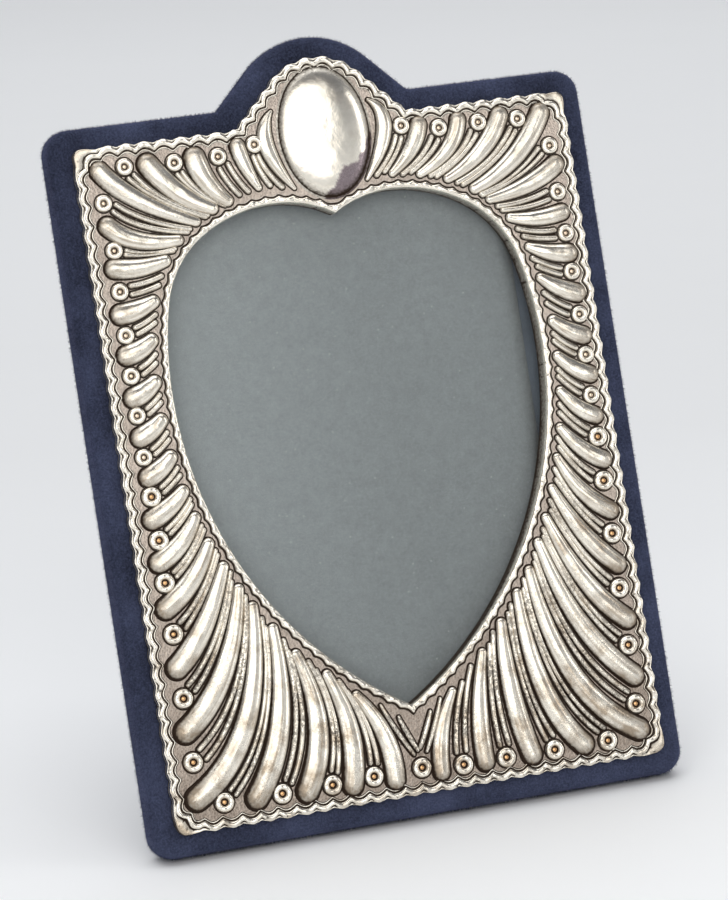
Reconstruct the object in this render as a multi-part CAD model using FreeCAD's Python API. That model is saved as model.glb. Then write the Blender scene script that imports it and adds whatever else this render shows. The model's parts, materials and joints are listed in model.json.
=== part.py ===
import FreeCAD, Part
import os
from math import acos, atan2, cos, hypot, pi, radians, sin, tan

# Standing picture frame with a repousse silver front, a heart shaped window, a velvet covered body
# and a strut on a sliding back door. It is drawn upright: X to the right, Z up the front, Y from
# the front of the velvet towards the back. Then it leans back on its bottom edge and its strut.
# All sizes are millimetres.

V = FreeCAD.Vector

# Silver front, seen from the front
silver_width = 142.0
silver_height = 186.0
silver_corner_radius = 2.5
arch_radius = 17.5
arch_slope = radians(45.0)
shoulder_cove_radius = 4.0
sheet_thickness = 0.5
turned_edge_depth = 2.1

# Heart window
heart_half_width = 53.4
heart_height = 140.4
heart_tip_height = 24.5
heart_tip_rise = radians(30.2)
heart_lip_depth = 4.9

# Raised work on the silver front
relief_height = 1.3
bead_height = 0.5
bead_width = 2.8
bead_inset = 0.6
ring_section_radius = 0.7
ring_lift = 0.3
ring_upper_diameter = 4.0
ring_lower_diameter = 5.2
upper_ring_count = 11
oval_half_width = 12.2
oval_half_height = 17.9
oval_height_up = 183.3
oval_dome = 2.6

# Spurs that hold the silver on the board
spur_width = 6.0
spur_length = 2.0
spur_clearance = 0.1

# Velvet cover
velvet_margin = 6.2
velvet_thickness = 0.8
velvet_corner_radius = 6.5
velvet_cove_radius = 3.0
velvet_edge_round = 2.2
velvet_tuck = 8.0

# Boards, from the front to the back
front_board_thickness = 2.4
spacer_thickness = 2.8
runner_thickness = 1.8
back_rim_thickness = 1.4
window_clearance = 0.3

# Pocket for the glass and the insert, and the door behind it
pocket_half_width = 60.0
pocket_floor = 14.0
pocket_ceiling = 172.0
pocket_clearance = 0.3
runner_reach = 4.0
glass_thickness = 2.0
card_thickness = 0.4
card_side_margin = 7.0
card_end_clearance = 0.65
card_side_shift = -2.0
card_turn = radians(2.0)
stack_clearance = 0.1

# Door
door_edge_clearance = 0.3
door_panel_clearance = 0.6
door_lining_thickness = 0.3
door_foot_rise = 1.8
door_top_clearance = 0.1

# Strut and its hinge
lean = radians(18.0)
strut_opening = radians(32.0)
hinge_drop = 22.0
hinge_width = 24.0
hinge_leaf_thickness = 0.6
hinge_fixed_leaf_height = 12.0
hinge_moving_leaf_height = 13.0
hinge_rivet_share = 0.6
hinge_knuckle_radius = 1.9
hinge_pin_radius = 0.8
hinge_pin_clearance = 0.05
hinge_knuckle_gap = 0.2
hinge_middle_knuckle = 9.6
strut_top_width = 30.0
strut_foot_width = 60.0
strut_corner_radius = 3.0
strut_velvet_thickness = 0.5
strut_door_gap = 0.3
strut_top_gap = 0.8

# Rivets
rivet_head_radius = 2.0
rivet_head_height = 0.6
rivet_shank_radius = 0.9
rivet_hole_clearance = 0.1
rivet_grip = 1.2
hinge_rivet_spacing = 15.0

# Ribbon stay between the door and the strut
ribbon_width = 10.0
ribbon_thickness = 0.4
ribbon_tab = 9.0
ribbon_strut_distance = 95.0
ribbon_door_height = 60.0
ribbon_clearance = 0.05

# Where it stands
base_flat = 0.35

# Blocks that only cut: how far they run past a piece, and how far the widest ones reach
cut_overrun = 5.0
cut_reach = 300.0

# The heart's right half, from its tip to its cleft, in shares of its half width and its height.
# Each point is reached by an arc that leaves the one before it smoothly.
heart_shares = ((1.0, 0.694), (0.948, 0.833), (0.712, 0.957), (0.356, 1.0), (0.0, 0.967))

# The flutes, from the top of the front to the bottom. Each row has the outer end, the middle and
# the inner end of a flute, across in shares of the silver's half width and up in shares of its
# height, and the flute's width in shares of the silver's half width.
left_flute_shares = (
    (0.197, 1.022, 0.234, 0.973, 0.149, 0.906, 0.065),
    (0.352, 0.978, 0.330, 0.946, 0.292, 0.914, 0.061),
    (0.528, 0.968, 0.487, 0.928, 0.410, 0.897, 0.087),
    (0.715, 0.967, 0.596, 0.916, 0.455, 0.888, 0.085),
    (0.908, 0.966, 0.766, 0.916, 0.539, 0.873, 0.076),
    (0.908, 0.885, 0.786, 0.858, 0.603, 0.853, 0.075),
    (0.908, 0.823, 0.789, 0.820, 0.669, 0.829, 0.075),
    (0.911, 0.756, 0.831, 0.761, 0.746, 0.774, 0.079),
    (0.911, 0.696, 0.839, 0.705, 0.776, 0.723, 0.078),
    (0.911, 0.634, 0.845, 0.645, 0.787, 0.665, 0.077),
    (0.908, 0.576, 0.841, 0.589, 0.785, 0.610, 0.076),
    (0.900, 0.517, 0.828, 0.533, 0.770, 0.557, 0.076),
    (0.911, 0.456, 0.820, 0.475, 0.744, 0.503, 0.078),
    (0.911, 0.393, 0.808, 0.419, 0.730, 0.459, 0.080),
    (0.911, 0.326, 0.783, 0.366, 0.690, 0.423, 0.084),
    (0.904, 0.239, 0.772, 0.294, 0.655, 0.381, 0.088),
    (0.908, 0.146, 0.725, 0.223, 0.614, 0.343, 0.092),
    (0.904, 0.048, 0.669, 0.145, 0.572, 0.309, 0.094),
    (0.670, 0.035, 0.535, 0.137, 0.506, 0.273, 0.092),
    (0.468, 0.032, 0.387, 0.124, 0.431, 0.231, 0.090),
    (0.285, 0.030, 0.265, 0.113, 0.325, 0.198, 0.085),
    (0.113, 0.027, 0.130, 0.094, 0.217, 0.158, 0.080),
)
right_flute_shares = (
    (0.200, 1.022, 0.248, 0.978, 0.148, 0.906, 0.065),
    (0.389, 0.976, 0.344, 0.942, 0.254, 0.910, 0.068),
    (0.552, 0.976, 0.490, 0.934, 0.355, 0.902, 0.065),
    (0.724, 0.975, 0.623, 0.925, 0.456, 0.889, 0.073),
    (0.894, 0.972, 0.745, 0.906, 0.531, 0.866, 0.079),
    (0.924, 0.892, 0.796, 0.867, 0.627, 0.853, 0.075),
    (0.921, 0.820, 0.803, 0.816, 0.687, 0.824, 0.066),
    (0.924, 0.758, 0.842, 0.763, 0.763, 0.775, 0.072),
    (0.932, 0.697, 0.856, 0.710, 0.785, 0.729, 0.073),
    (0.931, 0.633, 0.856, 0.648, 0.787, 0.672, 0.071),
    (0.934, 0.574, 0.856, 0.591, 0.790, 0.618, 0.068),
    (0.928, 0.512, 0.851, 0.532, 0.787, 0.563, 0.068),
    (0.934, 0.445, 0.842, 0.470, 0.763, 0.509, 0.071),
    (0.928, 0.369, 0.821, 0.406, 0.742, 0.459, 0.074),
    (0.923, 0.288, 0.801, 0.342, 0.703, 0.414, 0.078),
    (0.927, 0.205, 0.777, 0.272, 0.659, 0.372, 0.082),
    (0.920, 0.120, 0.730, 0.212, 0.610, 0.340, 0.085),
    (0.906, 0.040, 0.665, 0.140, 0.555, 0.306, 0.089),
    (0.669, 0.032, 0.538, 0.126, 0.493, 0.268, 0.087),
    (0.452, 0.030, 0.408, 0.129, 0.411, 0.237, 0.085),
    (0.259, 0.031, 0.268, 0.108, 0.314, 0.190, 0.076),
    (0.077, 0.027, 0.101, 0.085, 0.169, 0.141, 0.070),
)

# How a flute's width runs: at its outer end, its middle and its inner end, and at its flat top
flute_width_shares = (1.0, 0.82, 0.42)
crescent_width_shares = (0.25, 1.0, 0.25)
flute_top_share = 0.45

# The ring studs between the flutes, in the same shares, and the one at the bottom's middle
left_ring_shares = (
    (0.283, 0.977), (0.434, 0.966), (0.610, 0.965), (0.807, 0.968), (0.910, 0.919),
    (0.897, 0.849), (0.899, 0.789), (0.903, 0.725), (0.906, 0.666), (0.907, 0.608),
    (0.906, 0.547), (0.900, 0.489), (0.897, 0.425), (0.899, 0.363), (0.897, 0.288),
    (0.897, 0.194), (0.897, 0.101), (0.800, 0.037), (0.569, 0.035), (0.366, 0.035),
    (0.197, 0.037), (0.0, 0.038),
)
right_ring_shares = (
    (0.318, 0.978), (0.470, 0.968), (0.634, 0.969), (0.797, 0.967), (0.913, 0.921),
    (0.917, 0.851), (0.924, 0.788), (0.924, 0.730), (0.928, 0.665), (0.928, 0.604),
    (0.924, 0.543), (0.924, 0.480), (0.920, 0.414), (0.921, 0.334), (0.915, 0.252),
    (0.915, 0.166), (0.908, 0.078), (0.770, 0.031), (0.546, 0.031), (0.346, 0.032),
    (0.169, 0.032),
)

# Where the spurs stand, in shares of the silver's height on its sides and of its half width
side_spur_shares = (0.18, 0.5, 0.82)
bottom_spur_shares = (-0.6, 0.6)

# Sizes that follow from the pocket
hinge_height = pocket_ceiling - hinge_drop
card_width = 2 * (pocket_half_width - card_side_margin)
card_end_margin = card_end_clearance + card_width / 2 * sin(card_turn)
card_height = pocket_ceiling - pocket_floor - 2 * card_end_margin

# Depths of the layers
board_front = velvet_thickness
board_back = board_front + front_board_thickness
spacer_back = board_back + spacer_thickness
runner_back = spacer_back + runner_thickness
rim_back = runner_back + back_rim_thickness
body_back = rim_back + velvet_thickness
plate_front = -turned_edge_depth
plate_back = plate_front + sheet_thickness
groove_half_width = pocket_half_width + runner_reach
groove_ceiling = pocket_ceiling + runner_reach
body_foot = -velvet_margin
silver_half = silver_width / 2
board_half = silver_half + velvet_margin - velvet_thickness
board_foot = body_foot + velvet_thickness


def prism(wire, front, back):
    """A solid between two depths, over a wire that lies at depth zero."""
    solid = Part.Face(wire).extrude(V(0, back - front, 0))
    solid.translate(V(0, front, 0))
    return solid


def block(left, right, front, back, low, high):
    """A plain block between the depths, sides and heights given."""
    return Part.makeBox(right - left, back - front, high - low, V(left, front, low))


def rounded_wire(points, radii):
    """A closed outline through points (x, z), each corner rounded by its own radius."""
    count = len(points)
    stretches = []
    for i, (x, z) in enumerate(points):
        corner = V(x, 0, z)
        before = V(points[i - 1][0], 0, points[i - 1][1]).sub(corner).normalize()
        after_point = points[(i + 1) % count]
        after = V(after_point[0], 0, after_point[1]).sub(corner).normalize()
        half_angle = before.getAngle(after) / 2
        reach = radii[i] / tan(half_angle)
        middle = V(before.add(after)).normalize() * (radii[i] / sin(half_angle) - radii[i])
        stretches.append((corner + before * reach, corner + middle, corner + after * reach))
    edges = []
    for i, (start, middle, end) in enumerate(stretches):
        edges.append(Part.Arc(start, middle, end).toShape())
        edges.append(Part.LineSegment(end, stretches[(i + 1) % count][0]).toShape())
    return Part.Wire(edges)


def arch_wire(grow, corner_radius, cove_radius):
    """The arch topped outline of the silver, grown outwards by the distance given."""
    half = silver_half + grow
    foot = -grow
    shoulder = silver_height + grow
    crown_radius = arch_radius + grow
    run = (crown_radius - grow * cos(arch_slope)) / sin(arch_slope)
    apex = shoulder + run * tan(arch_slope)
    points = [(-half, foot), (half, foot), (half, shoulder), (run, shoulder),
              (0, apex), (-run, shoulder), (-half, shoulder)]
    radii = [corner_radius, corner_radius, corner_radius, cove_radius,
             crown_radius, cove_radius, corner_radius]
    return rounded_wire(points, radii)


def heart_wire(grow):
    """The heart outline, grown outwards by the distance given."""
    x, z, heading = 0, heart_tip_height, heart_tip_rise
    arcs = []
    for across, up in heart_shares:
        next_x = across * heart_half_width
        next_z = heart_tip_height + up * heart_height
        turn = 2 * (atan2(next_z - z, next_x - x) - heading)
        radius = hypot(next_x - x, next_z - z) / (2 * sin(turn / 2))
        centre_x = x - radius * sin(heading)
        centre_z = z + radius * cos(heading)
        arcs.append([centre_x, centre_z, radius + grow, heading - pi / 2, heading - pi / 2 + turn])
        x, z, heading = next_x, next_z, heading + turn
    arcs[-1][4] = acos(-arcs[-1][0] / arcs[-1][2])

    def on_arc(arc, angle, side):
        return V(side * (arc[0] + arc[2] * cos(angle)), 0, arc[1] + arc[2] * sin(angle))

    def half_heart(side):
        return [Part.Arc(on_arc(arc, arc[3], side), on_arc(arc, (arc[3] + arc[4]) / 2, side),
                         on_arc(arc, arc[4], side)).toShape() for arc in arcs]

    edges = half_heart(1) + list(reversed(half_heart(-1)))
    if grow > 0:
        tip = V(0, 0, heart_tip_height - grow / cos(heart_tip_rise))
        start = on_arc(arcs[0], arcs[0][3], 1)
        end = on_arc(arcs[0], arcs[0][3], -1)
        edges = [Part.LineSegment(tip, start).toShape()] + edges
        edges.append(Part.LineSegment(end, tip).toShape())
    return Part.Wire(edges)


def tapered_wire(points, widths, depth):
    """A curved strip through three points (x, z) with a round end at each end."""
    start, middle, end = [V(x, depth, z) for x, z in points]
    pull = middle * 2 - (start + end) * 0.5
    along = [(pull - start).normalize(), (end - start).normalize(), (end - pull).normalize()]
    left, right = [], []
    for point, direction, width in zip((start, middle, end), along, widths):
        across = V(-direction.z, 0, direction.x) * (width / 2)
        left.append(point + across)
        right.append(point - across)
    inner_cap = end + along[2] * (widths[2] / 2)
    outer_cap = start - along[0] * (widths[0] / 2)
    return Part.Wire([
        Part.Arc(left[0], left[1], left[2]).toShape(),
        Part.Arc(left[2], inner_cap, right[2]).toShape(),
        Part.Arc(right[2], right[1], right[0]).toShape(),
        Part.Arc(right[0], outer_cap, left[0]).toShape(),
    ])


def flute(row, side, width_shares):
    """One raised flute, wide at its base and narrow at its top, on the left or the right."""
    points = [(side * row[i] * silver_half, row[i + 1] * silver_height) for i in (0, 2, 4)]
    widths = [row[6] * silver_half * share for share in width_shares]
    base = tapered_wire(points, widths, plate_back - sheet_thickness / 2)
    top_widths = [width * flute_top_share for width in widths]
    top = tapered_wire(points, top_widths, plate_front - relief_height)
    return Part.makeLoft([base, top], True, True)


def ring_studs():
    """The small rings between the flutes' outer ends."""
    rings = []
    for side, shares in ((-1, left_ring_shares), (1, right_ring_shares)):
        for i, (across, up) in enumerate(shares):
            outer = ring_upper_diameter if i < upper_ring_count else ring_lower_diameter
            spot = V(side * across * silver_half, plate_front - ring_lift, up * silver_height)
            rings.append(Part.makeTorus(outer / 2 - ring_section_radius, ring_section_radius,
                                        spot, V(0, 1, 0)))
    return rings


def oval_boss():
    """The plain domed oval on the arch, as the front half of a flattened ball."""
    half_ball = Part.makeSphere(1, V(0, 0, 0), V(0, -1, 0), 0, 90, 360)
    shape_matrix = FreeCAD.Matrix()
    shape_matrix.scale(oval_half_width, oval_dome + sheet_thickness / 2, oval_half_height)
    dome = half_ball.transformGeometry(shape_matrix)
    dome.translate(V(0, plate_front + sheet_thickness / 2, oval_height_up))
    return dome


def bead(outer, inner):
    """A low raised band between two outlines, rooted in the sheet."""
    band = prism(outer, plate_front - bead_height, plate_back)
    return band.cut(prism(inner, plate_front - bead_height - cut_overrun, plate_back + cut_overrun))


def spur_boxes(clearance):
    """The spurs that run from the silver's turned edge into the board."""
    boxes = []
    half = spur_width / 2 + clearance
    inner = silver_half - sheet_thickness - clearance
    outer = silver_half + clearance
    for side in (-1, 1):
        for share in side_spur_shares:
            z = share * silver_height
            left, right = sorted((side * inner, side * outer))
            boxes.append(block(left, right, -sheet_thickness, spur_length + clearance,
                               z - half, z + half))
    for share in bottom_spur_shares:
        x = share * silver_half
        boxes.append(block(x - half, x + half, -sheet_thickness, spur_length + clearance,
                           -clearance, sheet_thickness + clearance))
    return boxes


def silver_front():
    """Stamped sheet with a turned edge, a window lip, flutes, rings, beads and an oval."""
    outline = arch_wire(0, silver_corner_radius, shoulder_cove_radius)
    inside = arch_wire(-sheet_thickness, silver_corner_radius - sheet_thickness,
                       shoulder_cove_radius + sheet_thickness)
    plate = prism(outline, plate_front, plate_back)
    turned_edge = prism(outline, plate_front, 0).cut(prism(inside, plate_back, cut_overrun))
    lip_back = plate_front + heart_lip_depth
    lip = prism(heart_wire(sheet_thickness), plate_front, lip_back)
    bead_root = bead_inset + bead_width
    outer_bead = bead(
        arch_wire(-bead_inset, silver_corner_radius - bead_inset,
                  shoulder_cove_radius + bead_inset),
        arch_wire(-bead_root, silver_corner_radius / 2, shoulder_cove_radius + bead_root))
    inner_bead = bead(heart_wire(bead_root), heart_wire(bead_inset))
    window = prism(heart_wire(0), plate_front - cut_overrun, lip_back + cut_overrun)
    sheet = plate.fuse([turned_edge, lip, outer_bead, inner_bead]).cut(window)
    flutes = []
    for side, rows in ((-1, left_flute_shares), (1, right_flute_shares)):
        flutes.append(flute(rows[0], side, crescent_width_shares))
        flutes.extend(flute(row, side, flute_width_shares) for row in rows[1:])
    for raised in (flutes, ring_studs(), [oval_boss()], spur_boxes(0)):
        sheet = sheet.fuse(raised)
    return sheet.removeSplitter()


def front_packing():
    """The filler behind the silver, with a step where the tucked velvet ends."""
    behind_edge = sheet_thickness + spur_clearance
    upper = prism(arch_wire(-behind_edge, silver_corner_radius - behind_edge,
                            shoulder_cove_radius + behind_edge), plate_back, 0)
    lower = prism(arch_wire(-velvet_tuck - spur_clearance, silver_corner_radius / 2,
                            shoulder_cove_radius + velvet_tuck), 0, board_front)
    filler = upper.fuse(lower)
    window = heart_wire(sheet_thickness + window_clearance)
    return filler.cut(prism(window, plate_back - cut_overrun, board_front + cut_overrun))


def body_wire(inset):
    """The outline of the covered body, drawn in by the distance given."""
    return arch_wire(velvet_margin - inset, velvet_corner_radius - inset,
                     velvet_cove_radius + inset)


def board_layer(front, back):
    """A full board between two depths, with the body's outline inside the velvet."""
    return prism(body_wire(velvet_thickness), front, back)


def velvet_cover():
    """Velvet round the body's edges, tucked under the silver and turned over the back rim."""
    outer = prism(body_wire(0), 0, body_back)
    turned = [edge for edge in outer.Edges
              if abs(edge.BoundBox.YMax - edge.BoundBox.YMin) < velvet_edge_round]
    outer = outer.makeFillet(velvet_edge_round, turned)
    core = board_layer(board_front, rim_back)
    front_gap = prism(arch_wire(-velvet_tuck, silver_corner_radius / 2,
                                shoulder_cove_radius + velvet_tuck), -cut_overrun, board_front)
    low = body_foot - cut_overrun
    back_gap = block(-pocket_half_width, pocket_half_width, rim_back, body_back + cut_overrun,
                     low, pocket_ceiling)
    door_way = block(-groove_half_width, groove_half_width, spacer_back,
                     body_back + cut_overrun, low, board_foot)
    return outer.cut([core, front_gap, back_gap, door_way] + spur_boxes(spur_clearance))


def front_board():
    """The board with the heart shaped window that the silver lip lines."""
    window = prism(heart_wire(sheet_thickness + window_clearance), 0, board_back + cut_overrun)
    return board_layer(board_front, board_back).cut([window] + spur_boxes(spur_clearance))


def spacer(left, right, low, high):
    """A strip round the glass, cut to the body's outline."""
    strip = block(left, right, board_back, spacer_back, low, high)
    return board_layer(board_back, spacer_back).common(strip)


def runner(left, right, low, high):
    """A thin strip that leaves the groove for the door, cut to the body's outline."""
    strip = block(left, right, spacer_back, runner_back, low, high)
    return board_layer(spacer_back, runner_back).common(strip)


def back_rim():
    """The thin board behind the door's edges, open at the bottom."""
    window = block(-pocket_half_width, pocket_half_width, runner_back - cut_overrun,
                   rim_back + cut_overrun, body_foot - cut_overrun, pocket_ceiling)
    return board_layer(runner_back, rim_back).cut(window)


def rivet(x, front, z, head_up, grip):
    """A round headed rivet along Y: its head stands on a face at the depth named front."""
    direction = V(0, head_up, 0)
    head = Part.makeCylinder(rivet_head_radius, rivet_head_height, V(x, front, z), direction)
    rim = [edge for edge in head.Edges
           if abs(edge.BoundBox.YMin - front - head_up * rivet_head_height) < rivet_head_height / 2
           and abs(edge.BoundBox.YMax - edge.BoundBox.YMin) < rivet_head_height / 2]
    head = head.makeFillet(rivet_head_height / 2, rim)
    shank = Part.makeCylinder(rivet_shank_radius, grip, V(x, front, z), direction * -1)
    return head.fuse(shank).removeSplitter()


def rivet_hole(x, z, front, back):
    """A clearance hole for a rivet's shank between two depths."""
    return Part.makeCylinder(rivet_shank_radius + rivet_hole_clearance, back - front,
                             V(x, front, z), V(0, 1, 0))


# The strut is drawn folded flat against the door and then opened about the hinge's axis.
door_back = body_back
hinge_depth = door_back + hinge_knuckle_radius
strut_front = door_back + strut_door_gap
strut_back = hinge_depth + hinge_knuckle_radius - hinge_leaf_thickness
strut_top = hinge_height - hinge_knuckle_radius - strut_top_gap
strut_board_front = strut_front + strut_velvet_thickness
strut_board_back = strut_back - strut_velvet_thickness
hinge_point = V(0, hinge_depth, hinge_height)
fixed_rivet_height = hinge_height + hinge_knuckle_radius + hinge_fixed_leaf_height / 2
moving_rivet_height = hinge_height - hinge_knuckle_radius - hinge_moving_leaf_height * hinge_rivet_share
hinge_rivet_places = (-hinge_rivet_spacing / 2, hinge_rivet_spacing / 2)
ribbon_rivet_height = ribbon_door_height - ribbon_tab / 2
ribbon_strut_height = hinge_height - ribbon_strut_distance
strut_rivet_height = ribbon_strut_height - ribbon_tab / 2


def opened(shape):
    """The shape turned about the hinge's axis from folded to open."""
    turned = shape.copy()
    turned.rotate(hinge_point, V(1, 0, 0), strut_opening * 180 / pi)
    return turned


# Lowest point of the rounded back edge once the frame leans, and the lift that stands it level
low_round_depth = body_back - velvet_edge_round
low_round_height = body_foot + velvet_edge_round
floor_lift = (low_round_depth * sin(lean) - low_round_height * cos(lean)
              + velvet_edge_round - base_flat)
hinge_world_height = hinge_height * cos(lean) - hinge_depth * sin(lean) + floor_lift
strut_reach = hinge_world_height / cos(strut_opening - lean)
strut_foot = hinge_height - strut_reach - cut_overrun


def strut_wire(grow):
    """The strut's outline: narrow at the hinge and wide at the foot."""
    top_half = strut_top_width / 2 + grow
    foot_half = strut_foot_width / 2 + grow
    points = [(-foot_half, strut_foot - grow), (foot_half, strut_foot - grow),
              (top_half, strut_top), (-top_half, strut_top)]
    return rounded_wire(points, [strut_corner_radius] * 4)


def strut_board():
    """The thin stiff board of the strut."""
    board = prism(strut_wire(-strut_velvet_thickness), strut_board_front, strut_board_back)
    board = board.cut(block(-strut_top_width, strut_top_width, strut_front, strut_back,
                            strut_top - strut_velvet_thickness, strut_top + cut_overrun))
    holes = [rivet_hole(x, moving_rivet_height, strut_board_front, strut_board_back)
             for x in hinge_rivet_places]
    holes.append(rivet_hole(0, strut_rivet_height, strut_board_front, strut_board_back))
    return board.cut(holes)


def strut_velvet():
    """The velvet sleeve of the strut, open at its foot."""
    sleeve = prism(strut_wire(0), strut_front, strut_back)
    inside = prism(strut_wire(-strut_velvet_thickness), strut_board_front, strut_board_back)
    inside = inside.cut(block(-strut_top_width, strut_top_width, strut_front, strut_back,
                              strut_top - strut_velvet_thickness, strut_top + cut_overrun))
    holes = [rivet_hole(x, moving_rivet_height, strut_board_back - rivet_hole_clearance,
                        strut_back + cut_overrun) for x in hinge_rivet_places]
    holes.append(rivet_hole(0, strut_rivet_height, strut_front - cut_overrun,
                            strut_board_front + rivet_hole_clearance))
    return sleeve.cut([inside] + holes)


def knuckles(spans):
    """Hinge knuckles over the spans (left, right) given, bored for the pin."""
    along = V(1, 0, 0)
    tubes = []
    for left, right in spans:
        at = V(left, hinge_depth, hinge_height)
        tube = Part.makeCylinder(hinge_knuckle_radius, right - left, at, along)
        bore = Part.makeCylinder(hinge_pin_radius + hinge_pin_clearance, right - left, at, along)
        tubes.append(tube.cut(bore))
    return tubes


def hinge_leaf(front, low, high, spans, rivet_height):
    """A hinge leaf with its knuckles, notched where the other leaf's knuckles turn."""
    half = hinge_width / 2
    plate = block(-half, half, front, front + hinge_leaf_thickness, low, high)
    plate = plate.cut([rivet_hole(x, rivet_height, front, front + hinge_leaf_thickness)
                       for x in hinge_rivet_places])
    around = hinge_knuckle_radius + hinge_knuckle_gap
    near_axis = block(-half, half, front - cut_overrun, front + cut_overrun,
                      hinge_height - around, hinge_height + around)
    for left, right in spans:
        keep = block(left, right, front - cut_overrun, front + cut_overrun,
                     hinge_height - around, hinge_height + around)
        near_axis = near_axis.cut(keep)
    bore = Part.makeCylinder(hinge_pin_radius + hinge_pin_clearance, hinge_width,
                             V(-half, hinge_depth, hinge_height), V(1, 0, 0))
    leaf = plate.cut(near_axis).fuse(knuckles(spans)).cut(bore)
    return leaf.removeSplitter()


middle_half = hinge_middle_knuckle / 2
outer_spans = ((-hinge_width / 2, -middle_half - hinge_knuckle_gap),
               (middle_half + hinge_knuckle_gap, hinge_width / 2))
middle_span = ((-middle_half, middle_half),)


def hinge_fixed_leaf():
    """The leaf on the door, above the pin."""
    return hinge_leaf(door_back, hinge_height,
                      hinge_height + hinge_knuckle_radius + hinge_fixed_leaf_height,
                      outer_spans, fixed_rivet_height)


def hinge_moving_leaf():
    """The leaf on the strut's back, below the pin, opened with the strut."""
    leaf = hinge_leaf(strut_back, hinge_height - hinge_knuckle_radius - hinge_moving_leaf_height,
                      hinge_height, middle_span, moving_rivet_height)
    return opened(leaf)


def thick_line(points, thickness):
    """A strip of even thickness along a line of points (y, z), as a closed outline."""
    half = thickness / 2
    left, right = [], []
    for i, (y, z) in enumerate(points):
        normals = []
        for a, b in ((i - 1, i), (i, i + 1)):
            if a >= 0 and b < len(points):
                dy, dz = points[b][0] - points[a][0], points[b][1] - points[a][1]
                length = hypot(dy, dz)
                normals.append((-dz / length, dy / length))
        ny = sum(n[0] for n in normals) / len(normals)
        nz = sum(n[1] for n in normals) / len(normals)
        stretch = half / (ny * ny + nz * nz)
        left.append(V(0, y + ny * stretch, z + nz * stretch))
        right.append(V(0, y - ny * stretch, z - nz * stretch))
    ring = left + list(reversed(right))
    return Part.makePolygon(ring + [ring[0]])


def stay_ribbon():
    """The ribbon that stops the strut: flat on the door, across, and flat on the strut."""
    door_line = door_back + ribbon_thickness / 2
    strut_line = strut_front - ribbon_clearance - ribbon_thickness / 2
    on_strut = [opened(Part.Vertex(0, strut_line, height)).Point
                for height in (ribbon_strut_height, ribbon_strut_height - ribbon_tab)]
    points = [(door_line, ribbon_door_height - ribbon_tab), (door_line, ribbon_door_height)]
    points += [(point.y, point.z) for point in on_strut]
    outline = thick_line(points, ribbon_thickness)
    ribbon = Part.Face(outline).extrude(V(ribbon_width, 0, 0))
    ribbon.translate(V(-ribbon_width / 2, 0, 0))
    door_hole = rivet_hole(0, ribbon_rivet_height, door_back - cut_overrun,
                           door_back + ribbon_thickness + cut_overrun)
    strut_hole = opened(rivet_hole(0, strut_rivet_height, strut_line - cut_overrun,
                                   strut_front + cut_overrun))
    return ribbon.cut([door_hole, strut_hole])


door_top = groove_ceiling - door_top_clearance
door_foot = body_foot + door_foot_rise
door_half = groove_half_width - door_edge_clearance
panel_half = pocket_half_width - door_panel_clearance
panel_top = pocket_ceiling - door_panel_clearance
lining_front = spacer_back + stack_clearance
tongue_front = lining_front + door_lining_thickness
tongue_back = runner_back - stack_clearance


def door_holes(front, back):
    """Holes through the door's layers for the hinge rivets and the ribbon rivet."""
    holes = [rivet_hole(x, fixed_rivet_height, front, back) for x in hinge_rivet_places]
    holes.append(rivet_hole(0, ribbon_rivet_height, front, back))
    return holes


def door_board():
    """The sliding back: edges that run in the grooves and a raised middle, flush with the rim."""
    tongue = block(-door_half, door_half, tongue_front, tongue_back,
                   door_foot + velvet_thickness, door_top)
    panel = block(-panel_half, panel_half, tongue_back, rim_back,
                  door_foot + velvet_thickness, panel_top)
    return tongue.fuse(panel).removeSplitter().cut(door_holes(rim_back - rivet_grip, door_back))


def door_velvet():
    """Velvet over the door's raised middle, turned under its bottom edge."""
    face = block(-panel_half, panel_half, rim_back, body_back, door_foot, panel_top)
    turn = block(-panel_half, panel_half, tongue_front, rim_back, door_foot,
                 door_foot + velvet_thickness)
    return face.fuse(turn).removeSplitter().cut(door_holes(rim_back - rivet_grip, door_back))


def door_lining():
    """The thin navy lining that faces the glass."""
    return block(-door_half, door_half, lining_front, tongue_front, door_foot, door_top)


def glass_pane():
    """The flat glass in the pocket behind the front board."""
    half = pocket_half_width - pocket_clearance
    return block(-half, half, board_back, board_back + glass_thickness,
                 pocket_floor + pocket_clearance, pocket_ceiling - pocket_clearance)


def insert_card():
    """The grey card that stands in for the picture, a little aslant in the pocket."""
    front = board_back + glass_thickness + stack_clearance
    middle = (pocket_floor + pocket_ceiling) / 2
    card = block(card_side_shift - card_width / 2, card_side_shift + card_width / 2,
                 front, front + card_thickness, middle - card_height / 2, middle + card_height / 2)
    card.rotate(V(card_side_shift, 0, middle), V(0, 1, 0), -card_turn * 180 / pi)
    return card


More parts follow.
